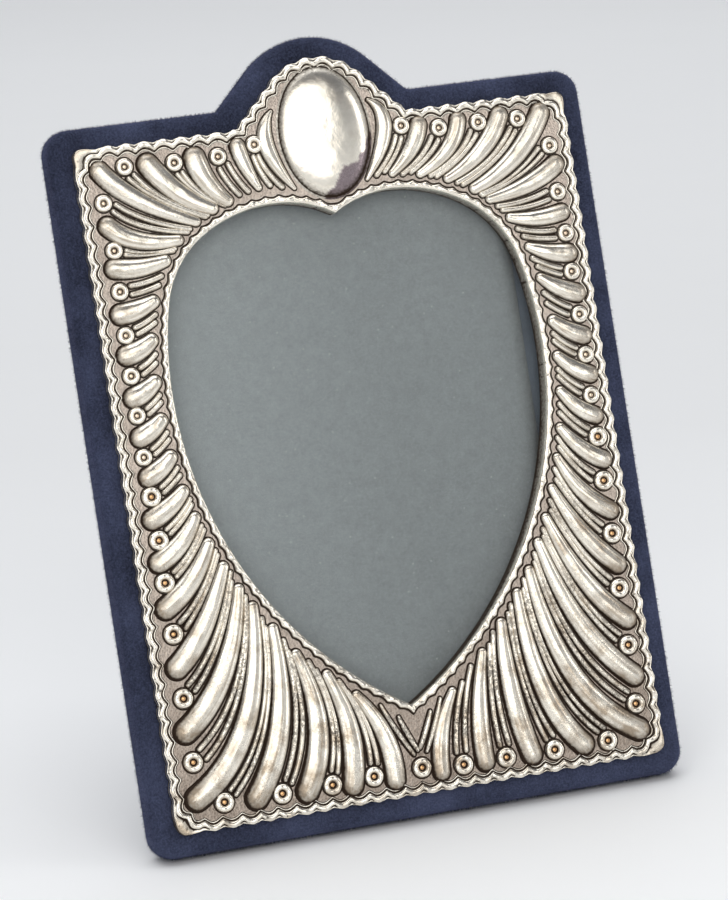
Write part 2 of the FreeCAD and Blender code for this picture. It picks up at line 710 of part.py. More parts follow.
def build_parts():
    """Every piece, still upright."""
    low = body_foot - cut_overrun
    shank = ribbon_thickness + velvet_thickness + rivet_grip / 2
    leaf_shank = hinge_leaf_thickness + velvet_thickness + rivet_grip / 2
    strut_shank = hinge_leaf_thickness + strut_velvet_thickness + rivet_grip
    ribbon_face = strut_front - ribbon_clearance - ribbon_thickness
    parts = {
        "silver_front": silver_front(),
        "front_packing": front_packing(),
        "velvet_cover": velvet_cover(),
        "front_board": front_board(),
        "spacer_left": spacer(-board_half, -pocket_half_width, low, pocket_ceiling),
        "spacer_right": spacer(pocket_half_width, board_half, low, pocket_ceiling),
        "spacer_top": spacer(-board_half, board_half, pocket_ceiling, cut_reach),
        "spacer_bottom": spacer(-pocket_half_width, pocket_half_width, low, pocket_floor),
        "runner_left": runner(-board_half, -groove_half_width, low, groove_ceiling),
        "runner_right": runner(groove_half_width, board_half, low, groove_ceiling),
        "runner_top": runner(-board_half, board_half, groove_ceiling, cut_reach),
        "back_rim": back_rim(),
        "glass_pane": glass_pane(),
        "insert_card": insert_card(),
        "door_board": door_board(),
        "door_lining": door_lining(),
        "door_velvet": door_velvet(),
        "hinge_fixed_leaf": hinge_fixed_leaf(),
        "hinge_door_rivets": Part.makeCompound([
            rivet(x, door_back + hinge_leaf_thickness, fixed_rivet_height, 1, leaf_shank)
            for x in hinge_rivet_places]),
        "hinge_pin": Part.makeCylinder(hinge_pin_radius, hinge_width,
                                       V(-hinge_width / 2, hinge_depth, hinge_height),
                                       V(1, 0, 0)),
        "stay_ribbon": stay_ribbon(),
        "stay_door_rivet": rivet(0, door_back + ribbon_thickness, ribbon_rivet_height, 1, shank),
        "strut_board": opened(strut_board()),
        "strut_velvet": opened(strut_velvet()),
        "hinge_moving_leaf": hinge_moving_leaf(),
        "hinge_strut_rivets": opened(Part.makeCompound([
            rivet(x, strut_back + hinge_leaf_thickness, moving_rivet_height, 1, strut_shank)
            for x in hinge_rivet_places])),
        "stay_strut_rivet": opened(rivet(0, ribbon_face, strut_rivet_height, -1, shank)),
    }
    return parts


def stand_up(shape):
    """The shape leant back and lifted so that the frame stands on the level plane."""
    placed = shape.copy()
    placed.rotate(V(0, 0, 0), V(1, 0, 0), -lean * 180 / pi)
    placed.translate(V(0, 0, floor_lift))
    return placed


def level_foot(shape):
    """The shape cut level where it meets the plane that the frame stands on."""
    return shape.cut(Part.makeBox(cut_reach * 2, cut_reach * 2, cut_reach,
                                  V(-cut_reach, -cut_reach, -cut_reach)))


def main():
    os.makedirs("parts", exist_ok=True)
    parts = {name: stand_up(shape) for name, shape in build_parts().items()}
    for name in ("velvet_cover", "strut_board", "strut_velvet"):
        parts[name] = level_foot(parts[name])
    whole = Part.makeCompound(list(parts.values())).optimalBoundingBox(False)
    centre = V(0, -(whole.YMin + whole.YMax) / 2, 0)
    for name, shape in parts.items():
        shape.translate(centre)
        shape.exportStep("parts/" + name + ".step")
        print(name, "solids", len(shape.Solids), "valid", shape.isValid(),
              "volume", round(shape.Volume, 2))
    hinge = stand_up(Part.Vertex(hinge_point)).Point + centre
    print("size", whole.XLength, whole.YLength, whole.ZLength)
    print("hinge axis through", hinge)
    print("centre shift", centre.y, "floor lift", floor_lift, "strut reach", strut_reach)


main()
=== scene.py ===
import bmesh
import bpy
import functools
import json
import math
from bpy.props import FloatProperty, FloatVectorProperty, IntProperty, PointerProperty
from mathutils import Matrix, Vector
from mathutils.geometry import intersect_line_line_2d


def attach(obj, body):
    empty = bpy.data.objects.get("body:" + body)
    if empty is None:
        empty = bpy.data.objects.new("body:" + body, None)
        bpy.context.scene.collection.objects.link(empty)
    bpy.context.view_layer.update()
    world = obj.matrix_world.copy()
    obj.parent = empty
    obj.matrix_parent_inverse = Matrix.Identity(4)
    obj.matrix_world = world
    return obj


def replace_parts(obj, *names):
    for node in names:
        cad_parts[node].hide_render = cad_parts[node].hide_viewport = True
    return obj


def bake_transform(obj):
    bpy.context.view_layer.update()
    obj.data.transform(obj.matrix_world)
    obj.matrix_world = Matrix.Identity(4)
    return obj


bl_info = {
    "name": "Heart Window Photo Frame",
    "version": (1, 0, 0),
    "blender": (4, 5, 0),
    "location": "3D View > Sidebar > Photo Frame",
    "description": "Dresses a standing photo frame in chased silver, velvet, glass and ribbon",
    "category": "Object",
}

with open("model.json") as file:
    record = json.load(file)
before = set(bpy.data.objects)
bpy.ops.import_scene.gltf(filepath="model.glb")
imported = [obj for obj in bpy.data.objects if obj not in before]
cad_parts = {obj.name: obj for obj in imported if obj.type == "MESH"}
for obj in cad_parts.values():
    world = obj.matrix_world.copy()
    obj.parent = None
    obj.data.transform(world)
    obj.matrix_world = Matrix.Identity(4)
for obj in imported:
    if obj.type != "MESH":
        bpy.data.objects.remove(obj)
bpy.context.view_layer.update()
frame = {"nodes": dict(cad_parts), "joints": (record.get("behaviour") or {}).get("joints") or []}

MM = 0.001
LEAN = math.radians(18.0)
STRUT_OPENING = math.radians(32.0)
HINGE = Vector((0.0, 11.9 * MM, 150.0 * MM))

# The frame is drawn upright: X to the right, Y from the velvet's front to the back, Z up the
# front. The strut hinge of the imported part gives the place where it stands, leaning back.
hinge_joint = next(j for j in frame["joints"] if j["name"] == "strut_hinge")
turn_back = Matrix.Rotation(-LEAN, 4, "X")
STANDING = Matrix.Translation(Vector(hinge_joint["pos_m"]) - turn_back @ HINGE) @ turn_back

# The heart's right half, from its tip to its cleft, in shares of its half width and its height.
HEART_SHARES = ((1.0, 0.694), (0.948, 0.833), (0.712, 0.957), (0.356, 1.0), (0.0, 0.967))
HEART_TIP_RISE = math.radians(30.2)

# The flutes, from the top of the front to the bottom: outer end, middle and inner end, across in
# shares of the silver's half width and up in shares of its height, then the width in half widths.
LEFT_FLUTES = (
    (0.197, 1.022, 0.234, 0.973, 0.149, 0.906, 0.065),
    (0.352, 0.978, 0.330, 0.946, 0.292, 0.914, 0.061),
    (0.528, 0.968, 0.487, 0.928, 0.410, 0.897, 0.087),
    (0.715, 0.967, 0.596, 0.916, 0.455, 0.888, 0.085),
    (0.908, 0.966, 0.766, 0.916, 0.539, 0.873, 0.076),
    (0.908, 0.885, 0.786, 0.858, 0.603, 0.853, 0.075),
    (0.908, 0.823, 0.789, 0.820, 0.669, 0.829, 0.075),
    (0.911, 0.756, 0.831, 0.761, 0.746, 0.774, 0.079),
    (0.911, 0.696, 0.839, 0.705, 0.776, 0.723, 0.078),
    (0.911, 0.634, 0.845, 0.645, 0.787, 0.665, 0.077),
    (0.908, 0.576, 0.841, 0.589, 0.785, 0.610, 0.076),
    (0.900, 0.517, 0.828, 0.533, 0.770, 0.557, 0.076),
    (0.911, 0.456, 0.820, 0.475, 0.744, 0.503, 0.078),
    (0.911, 0.393, 0.808, 0.419, 0.730, 0.459, 0.080),
    (0.911, 0.326, 0.783, 0.366, 0.690, 0.423, 0.084),
    (0.904, 0.239, 0.772, 0.294, 0.655, 0.381, 0.088),
    (0.908, 0.146, 0.725, 0.223, 0.614, 0.343, 0.092),
    (0.904, 0.048, 0.669, 0.145, 0.572, 0.309, 0.094),
    (0.670, 0.035, 0.535, 0.137, 0.506, 0.273, 0.092),
    (0.468, 0.032, 0.387, 0.124, 0.431, 0.231, 0.090),
    (0.285, 0.030, 0.265, 0.113, 0.325, 0.198, 0.085),
    (0.113, 0.027, 0.130, 0.094, 0.217, 0.158, 0.080),
)
RIGHT_FLUTES = (
    (0.200, 1.022, 0.248, 0.978, 0.148, 0.906, 0.065),
    (0.389, 0.976, 0.344, 0.942, 0.254, 0.910, 0.068),
    (0.552, 0.976, 0.490, 0.934, 0.355, 0.902, 0.065),
    (0.724, 0.975, 0.623, 0.925, 0.456, 0.889, 0.073),
    (0.894, 0.972, 0.745, 0.906, 0.531, 0.866, 0.079),
    (0.924, 0.892, 0.796, 0.867, 0.627, 0.853, 0.075),
    (0.921, 0.820, 0.803, 0.816, 0.687, 0.824, 0.066),
    (0.924, 0.758, 0.842, 0.763, 0.763, 0.775, 0.072),
    (0.932, 0.697, 0.856, 0.710, 0.785, 0.729, 0.073),
    (0.931, 0.633, 0.856, 0.648, 0.787, 0.672, 0.071),
    (0.934, 0.574, 0.856, 0.591, 0.790, 0.618, 0.068),
    (0.928, 0.512, 0.851, 0.532, 0.787, 0.563, 0.068),
    (0.934, 0.445, 0.842, 0.470, 0.763, 0.509, 0.071),
    (0.928, 0.369, 0.821, 0.406, 0.742, 0.459, 0.074),
    (0.923, 0.288, 0.801, 0.342, 0.703, 0.414, 0.078),
    (0.927, 0.205, 0.777, 0.272, 0.659, 0.372, 0.082),
    (0.920, 0.120, 0.730, 0.212, 0.610, 0.340, 0.085),
    (0.906, 0.040, 0.665, 0.140, 0.555, 0.306, 0.089),
    (0.669, 0.032, 0.538, 0.126, 0.493, 0.268, 0.087),
    (0.452, 0.030, 0.408, 0.129, 0.411, 0.237, 0.085),
    (0.259, 0.031, 0.268, 0.108, 0.314, 0.190, 0.076),
    (0.077, 0.027, 0.101, 0.085, 0.169, 0.141, 0.070),
)

# A flute's widths at its three places, and those of the two crescents beside the oval.
FLUTE_WIDTHS = (1.06, 0.92, 0.5)
CRESCENT_WIDTHS = (0.25, 1.0, 0.25)

# The ring studs between the flutes' outer ends, in the same shares.
LEFT_STUDS = (
    (0.283, 0.977), (0.434, 0.966), (0.610, 0.965), (0.807, 0.968), (0.910, 0.919),
    (0.897, 0.849), (0.899, 0.789), (0.903, 0.725), (0.906, 0.666), (0.907, 0.608),
    (0.906, 0.547), (0.900, 0.489), (0.897, 0.425), (0.899, 0.363), (0.897, 0.288),
    (0.897, 0.194), (0.897, 0.101), (0.800, 0.037), (0.569, 0.035), (0.366, 0.035),
    (0.197, 0.037), (0.0, 0.038),
)
RIGHT_STUDS = (
    (0.318, 0.978), (0.470, 0.968), (0.634, 0.969), (0.797, 0.967), (0.913, 0.921),
    (0.917, 0.851), (0.924, 0.788), (0.924, 0.730), (0.928, 0.665), (0.928, 0.604),
    (0.924, 0.543), (0.924, 0.480), (0.920, 0.414), (0.921, 0.334), (0.915, 0.252),
    (0.915, 0.166), (0.908, 0.078), (0.770, 0.031), (0.546, 0.031), (0.346, 0.032),
    (0.169, 0.032),
)
SMALL_STUD_COUNT = 11

# The thin leaves that meet below the heart's tip: foot, tip (across, up) and half width, in mm.
TIP_LEAVES = (
    (-1.7, 11.0, -9.0, 25.6, 0.75), (-0.5, 12.0, -4.4, 21.6, 0.8),
    (0.3, 12.5, 4.8, 21.8, 0.8), (2.1, 11.3, 8.2, 24.8, 0.75),
)
# Their widths at the foot, the middle and the tip, in shares of that half width.
LEAF_WIDTHS = (0.8, 1.0, 0.7)

# The front's two halves: the way across, the flutes and the studs.
SIDES = ((-1, LEFT_FLUTES, LEFT_STUDS), (1, RIGHT_FLUTES, RIGHT_STUDS))

# How near the window's border the flutes and reeds may end, and in how many short cuts.
FLUTE_CLEARANCE = 0.85 * MM
REED_CLEARANCE = 1.15 * MM
CUT_STEPS = 45

# The reeds: their places in the gap between two flutes, where they end, their share of the gap,
# the least and greatest half width, and how far from its edge they leave a stud.
REED_PLACES = (0.30, 0.70)
REED_END = 0.98
REED_SHARE = 0.19
REED_HALF_WIDTHS = (0.32 * MM, 0.8 * MM)
STUD_CLEARANCE = 0.9 * MM

# The share of a flute's length over which its direction is taken.
SLOPE_STEP = 0.02

# The share of a strip's outline that each of its two sides takes. Its round ends take the rest.
STRIP_SIDE_SHARE = 0.38

# Pushed up metal round a foot: its reach and rise in millimetres, and its tarnish.
FLUTE_COLLAR = ((0.02, 0.05, 1.0), (0.22, 0.05, 1.0), (0.3, 0.05, 0.45), (0.41, -0.1, 0.3))
REED_COLLAR = ((0.03, 0.03, 1.0), (0.24, 0.03, 1.0), (0.33, 0.03, 0.5), (0.46, -0.1, 0.3))
STUD_COLLAR = ((0.05, 0.08, 1.0), (0.24, 0.08, 1.0), (0.34, 0.06, 0.6), (0.46, -0.1, 0.4))
OVAL_COLLAR = ((0.05, 0.1, 1.0), (0.24, 0.1, 1.0), (0.36, 0.12, 0.6), (0.6, 0.1, 0.45),
               (0.85, 0.02, 0.4), (1.0, -0.1, 0.4))

# A ring stud from its middle to its foot: share of its radius, lift, tarnish and gilt.
STUD_ROWS = (
    (0.0, 0.46, 0.0, 1.0), (0.14, 0.43, 0.0, 1.0), (0.21, 0.34, 0.1, 0.8), (0.27, 0.18, 0.8, 0.4),
    (0.33, 0.2, 0.9, 0.1), (0.4, 0.6, 0.2, 0.0), (0.54, 0.97, 0.0, 0.0), (0.7, 1.0, 0.0, 0.0),
    (0.84, 0.9, 0.0, 0.0), (0.95, 0.6, 0.0, 0.0), (1.0, 0.15, 0.8, 0.0),
)

# How far round from the oval's right side lies its grey patch of painted reflection, to the lower
# right.
REFLECTION_TURN = math.radians(57.0)

# The scalloped borders, from inside the chased line to the edge: distance out from the line and
# height in millimetres, share of the way to the edge, tarnish and the notch between two lobes.
# Where the sheet turns down to its edge, and down the window's lip, the tarnish holds painted
# shade.
EDGE_ROWS = (
    (-1.05, -0.08, 0, 0.3, 0), (-0.92, 0.04, 0, 0.3, 0), (-0.86, 0.05, 0, 0.6, 0),
    (-0.74, 0.05, 0, 0.6, 0), (-0.66, 0.12, 0, 0.1, 0), (-0.44, 0.13, 0, 0.05, 0),
    (-0.38, 0.05, 0, 1, 0), (-0.04, 0.04, 0, 1, 0), (0.03, 0.16, 0, 0.5, 0), (0.12, 0.4, 0, 0, 0),
    (0.34, 0.6, 0, 0, 0), (0.8, 0.74, 0, 0, 0), (1.2, 0.7, 0, 0, 0), (1.42, 0.54, 0, 0, 0),
    (1.53, 0.34, 0, 0, 0.4), (1.58, 0.14, 0.01, 0, 1), (1.74, 0.12, 0.03, 0, 1),
    (1.8, 0.22, 0.2, 0, 0.2), (1.88, 0.3, 0.65, 0, 0), (1.95, 0.26, 0.9, 0, 0), (2.01, 0, 1, 0, 0),
    (2.05, -0.5, 1, 0.05, 0), (2.07, -1.2, 1, 0.2, 0), (2.03, -2.1, 1, 0.9, 0),
)
RIM_ROWS = (
    (-0.6, -0.08, 0, 0.25, 0), (-0.48, 0.04, 0, 0.3, 0), (-0.38, 0.06, 0, 0.7, 0),
    (-0.34, 0.05, 0, 1, 0), (0, 0.05, 0, 1, 0), (0.07, 0.22, 0, 0.5, 0), (0.2, 0.5, 0, 0, 0),
    (0.5, 0.7, 0, 0, 0), (0.8, 0.76, 0.15, 0, 0), (1.1, 0.7, 0.45, 0, 0), (1.35, 0.64, 0.8, 0, 0),
    (1.6, 0.5, 1, 0, 0), (1.8, 0.16, 1, 0, 0), (1.91, -0.4, 1, 0.25, 0), (1.93, -1.2, 1, 0.55, 0),
    (1.92, -2.8, 1, 0.65, 0),
)

# The outer chased line's corners, the steps along both lines, how much a lobe rises over its
# notches, and how far out from a line its edge is looked for.
LINE_CORNER = 7.5 * MM
BORDER_STEP = 0.31 * MM
LOBE_RISE = 0.28 * MM
LOOK_OUT = 12.0 * MM

# The sheet behind the raised work: how far inside the silver's edge it ends, the radius of its
# corners, and how much wider than the window its hole is all round.
GROUND_INSET = 0.001
GROUND_CORNER = 0.0025
GROUND_HOLE = 0.0012

# The velvet from under the silver to the back: distance out from the silver's edge and depth, in
# millimetres.
VELVET_SECTION = (
    (-7.6, 0.7), (-7.5, 0.05), (-4, 0), (-1, -0.03), (0.6, -0.16), (2, -0.34), (3.4, -0.26),
    (4.5, 0.05), (5.3, 0.55), (5.85, 1.3), (6.12, 2.3), (6.2, 3.6), (6.2, 5), (6.2, 6), (6.2, 6.9),
    (6.12, 7.8), (5.85, 8.7), (5.3, 9.4), (4.5, 9.85), (3.4, 10), (0, 10), (-2, 10),
)

# The door's opening in the velvet's back: its half width and top, and the depths in millimetres
# between which the velvet turns in there. Below BACK_TOP it is cut away behind BACK_DEPTH.
DOOR_HALF, DOOR_TOP = 0.060, 0.172
DOOR_DEPTHS = (10.0, 9.3)
BACK_DEPTH, BACK_TOP = 9.2 * MM, 0.1

# The opening under the foot, through which the door slides: its half width, and the depth and
# height past which the velvet is cut away.
WRAP_HALF, WRAP_DEPTH, WRAP_HEIGHT = 0.064, 6.0 * MM, -0.0036

# The steps along the velvet's foot, its least corner and its thickness.
FOOT_STEP = 0.0015
LEAST_CORNER = 0.0006
VELVET_THICKNESS = 0.7 * MM

# Points of a shape that are nearer than this are one.
WELD = 1e-6

# The pile's hairs per square metre on the body and on the back, and the radius of a hair's foot.
BODY_HAIRS = 2.6e6
BACK_HAIRS = 0.7e6
HAIR_RADIUS = 0.055 * MM

# The grey card: half width and half height, the depths of its two faces, how far it is turned,
# where its middle is, how far it bows and ripples, and its grid's columns and rows.
CARD_HALF_WIDTH, CARD_HALF_HEIGHT = 53.4 * MM, 75.6 * MM
CARD_DEPTHS = (5.5 * MM, 5.9 * MM)
CARD_TURN = math.radians(0.2)
CARD_X, CARD_Z = -2.2 * MM, 93.0 * MM
CARD_BOW, CARD_RIPPLE = 0.12 * MM, 0.04 * MM
CARD_COLUMNS, CARD_ROWS = 24, 34

# The stay ribbon: half width, half thickness, the length of its tabs, the depths of the two faces
# they lie on, and the heights where they end on the door and on the folded strut.
RIBBON_HALF_WIDTH, RIBBON_HALF_THICK, RIBBON_TAB = 5.0 * MM, 0.16 * MM, 9.0 * MM
DOOR_FACE, STRUT_FACE = 10.2 * MM, 10.05 * MM
DOOR_TAB_TOP = 60.0 * MM
STRUT_TAB_TOP = HINGE.z - 95.0 * MM
RIBBON_COLUMNS = 9

# The way, level and away from the camera, in which painted shade darkens the table top behind the
# frame.
BEHIND_THE_FRAME = (0.32, 0.95, 0.0)
FLOOR_RADIUS = 9.0

# The place that the lights face.
LOOKED_AT = Vector((0.0, 0.0, 0.1))


def length(name, description, default):
    """A size that a user may change, in metres."""
    return FloatProperty(name=name, description=description, default=default, unit="LENGTH",
                         min=0.0, precision=5)


def colour(name, description, default):
    """A colour that a user may change."""
    return FloatVectorProperty(name=name, description=description, default=default,
                               subtype="COLOR", size=3, min=0.0, max=1.0)


class PhotoFrameSizes(bpy.types.PropertyGroup):
    """Sizes of the silver front and the velvet body"""
    silver_width: length("Silver width", "Width of the silver front", 0.142)
    silver_height: length("Silver height", "Height of the silver front to its shoulders", 0.186)
    silver_corner: length("Silver corner", "Radius of the silver's corners", 0.0025)
    sheet_depth: length("Silver depth", "How far the silver stands off the velvet", 0.0021)
    arch_radius: length("Arch radius", "Radius of the arch over the oval", 0.0175)
    shoulder_cove: length("Shoulder cove", "Radius where the arch meets the shoulders", 0.004)
    heart_half_width: length("Heart half width", "Half the width of the window", 0.0534)
    heart_height: length("Heart height", "Height of the window", 0.1404)
    heart_tip: length("Heart tip", "Height of the window's tip", 0.0245)
    lip_depth: length("Lip depth", "Depth of the silver lip round the window", 0.0049)
    velvet_margin: length("Velvet margin", "Velvet that shows round the silver", 0.0062)
    velvet_corner: length("Velvet corner", "Radius of the velvet's corners", 0.0065)
    velvet_cove: length("Velvet cove", "Radius of the velvet beside the arch", 0.003)
    relief: length("Flute relief", "How far the flutes stand out", 0.0017)
    reed_relief: length("Reed relief", "How far the thin reeds stand out", 0.0009)
    border_inset: length("Border inset", "Distance of the outer chased line from the edge",
                         0.00205)
    rim_width: length("Rim width", "Distance of the inner chased line from the window", 0.0019)
    scallop_pitch: length("Scallop pitch", "Length of one scallop of the outer border", 0.0052)
    arch_scallop_pitch: length("Arch scallop pitch", "Length of one scallop round the arch",
                               0.0049)
    scallop_depth: length("Scallop depth", "Depth of one scallop of the outer border", 0.0014)
    rim_scallop_depth: length("Rim scallop depth", "Depth of one scallop of the inner border",
                              0.0007)
    rim_scallop_pitch: length("Rim scallop pitch", "Length of one scallop of the inner border",
                              0.004)
    small_stud: length("Small stud", "Diameter of the upper ring studs", 0.0049)
    large_stud: length("Large stud", "Diameter of the lower ring studs", 0.0056)
    oval_half_width: length("Oval half width", "Half the width of the plain oval", 0.0127)
    oval_half_height: length("Oval half height", "Half the height of the plain oval", 0.0179)
    oval_place: length("Oval place", "Height of the oval's middle", 0.1829)
    oval_dome: length("Oval dome", "How far the oval stands out", 0.0026)
    pile_height: length("Pile height", "Length of the velvet's pile", 0.0008)
    seed: IntProperty(name="Seed", description="Start of everything irregular", default=7)


class PhotoFrameColours(bpy.types.PropertyGroup):
    """Colours of the photo frame"""
    silver: colour("Silver", "Polished silver", (0.93, 0.875, 0.77))
    ground: colour("Ground", "Matted silver between the flutes", (0.6, 0.515, 0.445))
    ground_shade: colour("Ground shade", "Dull hollows of the matted silver", (0.26, 0.21, 0.17))
    # This dark colour is also painted shade: on the domes' flanks and the flutes' outer ends,
    # where the sheet turns down, and down the window's lip.
    tarnish: colour("Tarnish", "Dark metal in the chased lines", (0.034, 0.021, 0.014))
    stain: colour("Stain", "Yellowed silver", (0.46, 0.38, 0.29))
    # The colour of a painted reflection: a grey purple patch low on the oval.
    patina: colour("Patina", "Grey purple patch low on the oval", (0.35, 0.29, 0.31))
    gilt: colour("Gilt", "Warm spot in the ring studs", (0.72, 0.42, 0.20))
    velvet: colour("Velvet", "Navy pile", (0.031, 0.037, 0.067))
    velvet_sheen: colour("Velvet sheen", "Light that the pile catches", (0.25, 0.27, 0.5))
    card: colour("Card", "Grey card behind the glass", (0.325, 0.336, 0.352))
    dust_and_light: colour("Dust", "Specks on the card", (0.7, 0.72, 0.7))
    glass: colour("Glass", "Light that passes the glass", (0.955, 0.97, 0.965))
    glass_gloss: colour("Glass gloss", "Tint of the glass's face", (0.9, 0.93, 0.92))
    lining: colour("Lining", "Blue lining beside the card", (0.15, 0.175, 0.225))
    board: colour("Board", "Raw board inside the body", (0.42, 0.31, 0.2))
    filler: colour("Filler", "Filler behind the silver", (0.2, 0.15, 0.11))
    nickel: colour("Nickel", "Hinge and rivets", (0.66, 0.64, 0.6))
    worn_nickel: colour("Worn nickel", "Nickel where it is worn", (0.36, 0.3, 0.23))
    ribbon: colour("Ribbon", "Woven stay ribbon", (0.02, 0.026, 0.11))
    room: colour("Room", "The room's own light", (0.93, 0.95, 1.0))
    floor: colour("Floor", "Pale table top", (0.93, 0.935, 0.94))
    backdrop: colour("Backdrop", "Pale room behind the table", (0.72, 0.735, 0.755))
    ceiling: colour("Ceiling", "Dimmer room high above the table", (0.17, 0.175, 0.19))


class PhotoFrameStudio(bpy.types.PropertyGroup):
    """Camera and lights of the studio"""
    camera_place: FloatVectorProperty(
        name="Camera place", description="Where the camera stands", size=3, unit="LENGTH",
        default=(-0.38593, -1.13784, 0.43260))
    camera_turn: FloatVectorProperty(
        name="Camera turn", description="How the camera is turned", size=3, subtype="EULER",
        default=(math.radians(74.2294), math.radians(2.9764), math.radians(-19.7673)))
    lens: FloatProperty(name="Lens", description="Focal length in millimetres", default=180.0)
    room_light: FloatProperty(name="Room light", description="Strength of the room's own light",
                              default=0.22, min=0.0)
    key_power: FloatProperty(name="Key light", description="Power of the large window light",
                             default=22.0, min=0.0)
    fill_power: FloatProperty(name="Fill light", description="Power of the light on the right",
                              default=2.0, min=0.0)
    top_power: FloatProperty(name="Top light", description="Power of the light overhead",
                             default=34.0, min=0.0)


def sizes():
    return bpy.context.scene.photo_frame_sizes


def colours():
    return bpy.context.scene.photo_frame_colours


def studio():
    return bpy.context.scene.photo_frame_studio


class Number:
    """A number in a node tree, on which arithmetic makes further nodes."""

    def __init__(self, nodes, socket):
        self.nodes = nodes
        self.socket = socket

    def maths(self, operation, *others, **settings):
        """The result of one step of arithmetic on the number."""
        inputs = dict(enumerate((self, *others)))
        return self.nodes.number("ShaderNodeMath", {"operation": operation, **settings}, inputs)

    def __add__(self, other):
        return self.maths("ADD", other)

    def __sub__(self, other):
        return self.maths("SUBTRACT", other)

    def __rsub__(self, other):
        return self.maths("MULTIPLY_ADD", -1.0, other)

    def __mul__(self, other):
        return self.maths("MULTIPLY", other)

    def __truediv__(self, other):
        return self.maths("DIVIDE", other)

    def __pow__(self, other):
        return self.maths("POWER", other)

    __radd__ = __add__
    __rmul__ = __mul__

    def kept(self):
        """The number held between 0 and 1."""
        return self.maths("ADD", 0.0, use_clamp=True)


class Nodes:
    """Makes the nodes of one tree."""

    def __init__(self, tree):
        self.tree = tree

    def feed(self, node, inputs):
        """Gives sockets of a node their values or links."""
        for name, value in inputs.items():
            if isinstance(value, Number):
                value = value.socket
            if isinstance(value, bpy.types.NodeSocket):
                self.tree.links.new(value, node.inputs[name])
            else:
                node.inputs[name].default_value = value

    def make(self, kind, settings=None, inputs=None):
        """A node with its settings made first, and then its sockets fed."""
        node = self.tree.nodes.new(kind)
        for name, value in (settings or {}).items():
            setattr(node, name, value)
        self.feed(node, inputs or {})
        return node

    def out(self, kind, settings=None, inputs=None, output=0):
        """One output socket of a new node."""
        return self.make(kind, settings, inputs).outputs[output]

    def number(self, kind, settings=None, inputs=None, output=0):
        """One output of a new node, as a number."""
        return Number(self, self.out(kind, settings, inputs, output))

    def blend(self, share, first, second):
        """A colour between two colours."""
        return self.out("ShaderNodeMix", {"data_type": "RGBA"}, {0: share, 6: first, 7: second}, 2)

    def noise(self, where, size, detail=2.0, roughness=0.5):
        """Soft irregular noise with features of a size in metres."""
        return self.number("ShaderNodeTexNoise", None, {
            "Vector": where, "Scale": 1.0 / size, "Detail": detail, "Roughness": roughness})

    def seeded_noise(self, where, seed, scale, detail):
        """Noise about 0.5 that another seed makes anew."""
        return self.number("ShaderNodeTexNoise", {"noise_dimensions": "4D"}, {
            "Vector": where, "W": seed, "Scale": scale, "Detail": detail})

    def vector(self, operation, *values):
        """Vector maths on values given in their order."""
        return self.out("ShaderNodeVectorMath", {"operation": operation}, dict(enumerate(values)))

    def measure(self, operation, *values):
        """Vector maths that gives a number."""
        return self.number("ShaderNodeVectorMath", {"operation": operation},
                           dict(enumerate(values)), 1)

    def scaled(self, vector, amount):
        """A vector made longer or shorter."""
        return self.out("ShaderNodeVectorMath", {"operation": "SCALE"}, {0: vector, 3: amount})

    def joined(self, **parts):
        """A vector from its X, Y and Z."""
        return self.out("ShaderNodeCombineXYZ", None, parts)

    def parts(self, vector):
        """The X, Y and Z of a vector."""
        apart = self.make("ShaderNodeSeparateXYZ", None, {0: vector})
        return [Number(self, part) for part in apart.outputs]

    def between(self, value, low, high):
        """0 at low, 1 at high, straight between them and held beyond them."""
        return self.number("ShaderNodeMapRange", {"clamp": True},
                           {"Value": value, "From Min": low, "From Max": high})

    def shape_of(self, helper):
        """The geometry of a helper object."""
        return self.out("GeometryNodeObjectInfo", None, {"Object": helper}, 4)

    def stored(self, name, kind="FLOAT"):
        """A number kept under a name on a geometry's points."""
        return self.number("GeometryNodeInputNamedAttribute", {"data_type": kind}, {"Name": name})

    def sampled(self, geometry, value, index, kind="FLOAT"):
        """A value that another geometry has at one of its points."""
        return self.number("GeometryNodeSampleIndex", {"data_type": kind},
                           {"Geometry": geometry, "Value": value, "Index": index})


class Finish(Nodes):
    """The nodes of a new material, with its shader and the piece's own coordinates."""

    def __init__(self, name):
        self.material = bpy.data.materials.new(name)
        self.material.use_nodes = True
        super().__init__(self.material.node_tree)
        self.shader = self.tree.nodes["Principled BSDF"]
        self.where = self.out("ShaderNodeTexCoord", output=3)

    def carried(self, name):
        """A number that the piece's mesh carries."""
        return self.number("ShaderNodeAttribute", {"attribute_name": name}, output=2)

    def coated(self, inputs, height, distance):
        """The material, its shader fed and its normal moved by a height."""
        bump = self.out("ShaderNodeBump", None, {"Distance": distance, "Height": height})
        self.feed(self.shader, {**inputs, "Normal": bump})
        return self.material

    def mixed(self, share, first, second):
        """The material with two surfaces mixed."""
        surface = self.out("ShaderNodeMixShader", None, {0: share, 1: first, 2: second})
        self.feed(self.tree.nodes["Material Output"], {"Surface": surface})
        return self.material


def rgba(shade, share=1.0):
    """A colour as a socket takes it, darker or lighter by a share."""
    return (*(part * share for part in shade), 1.0)


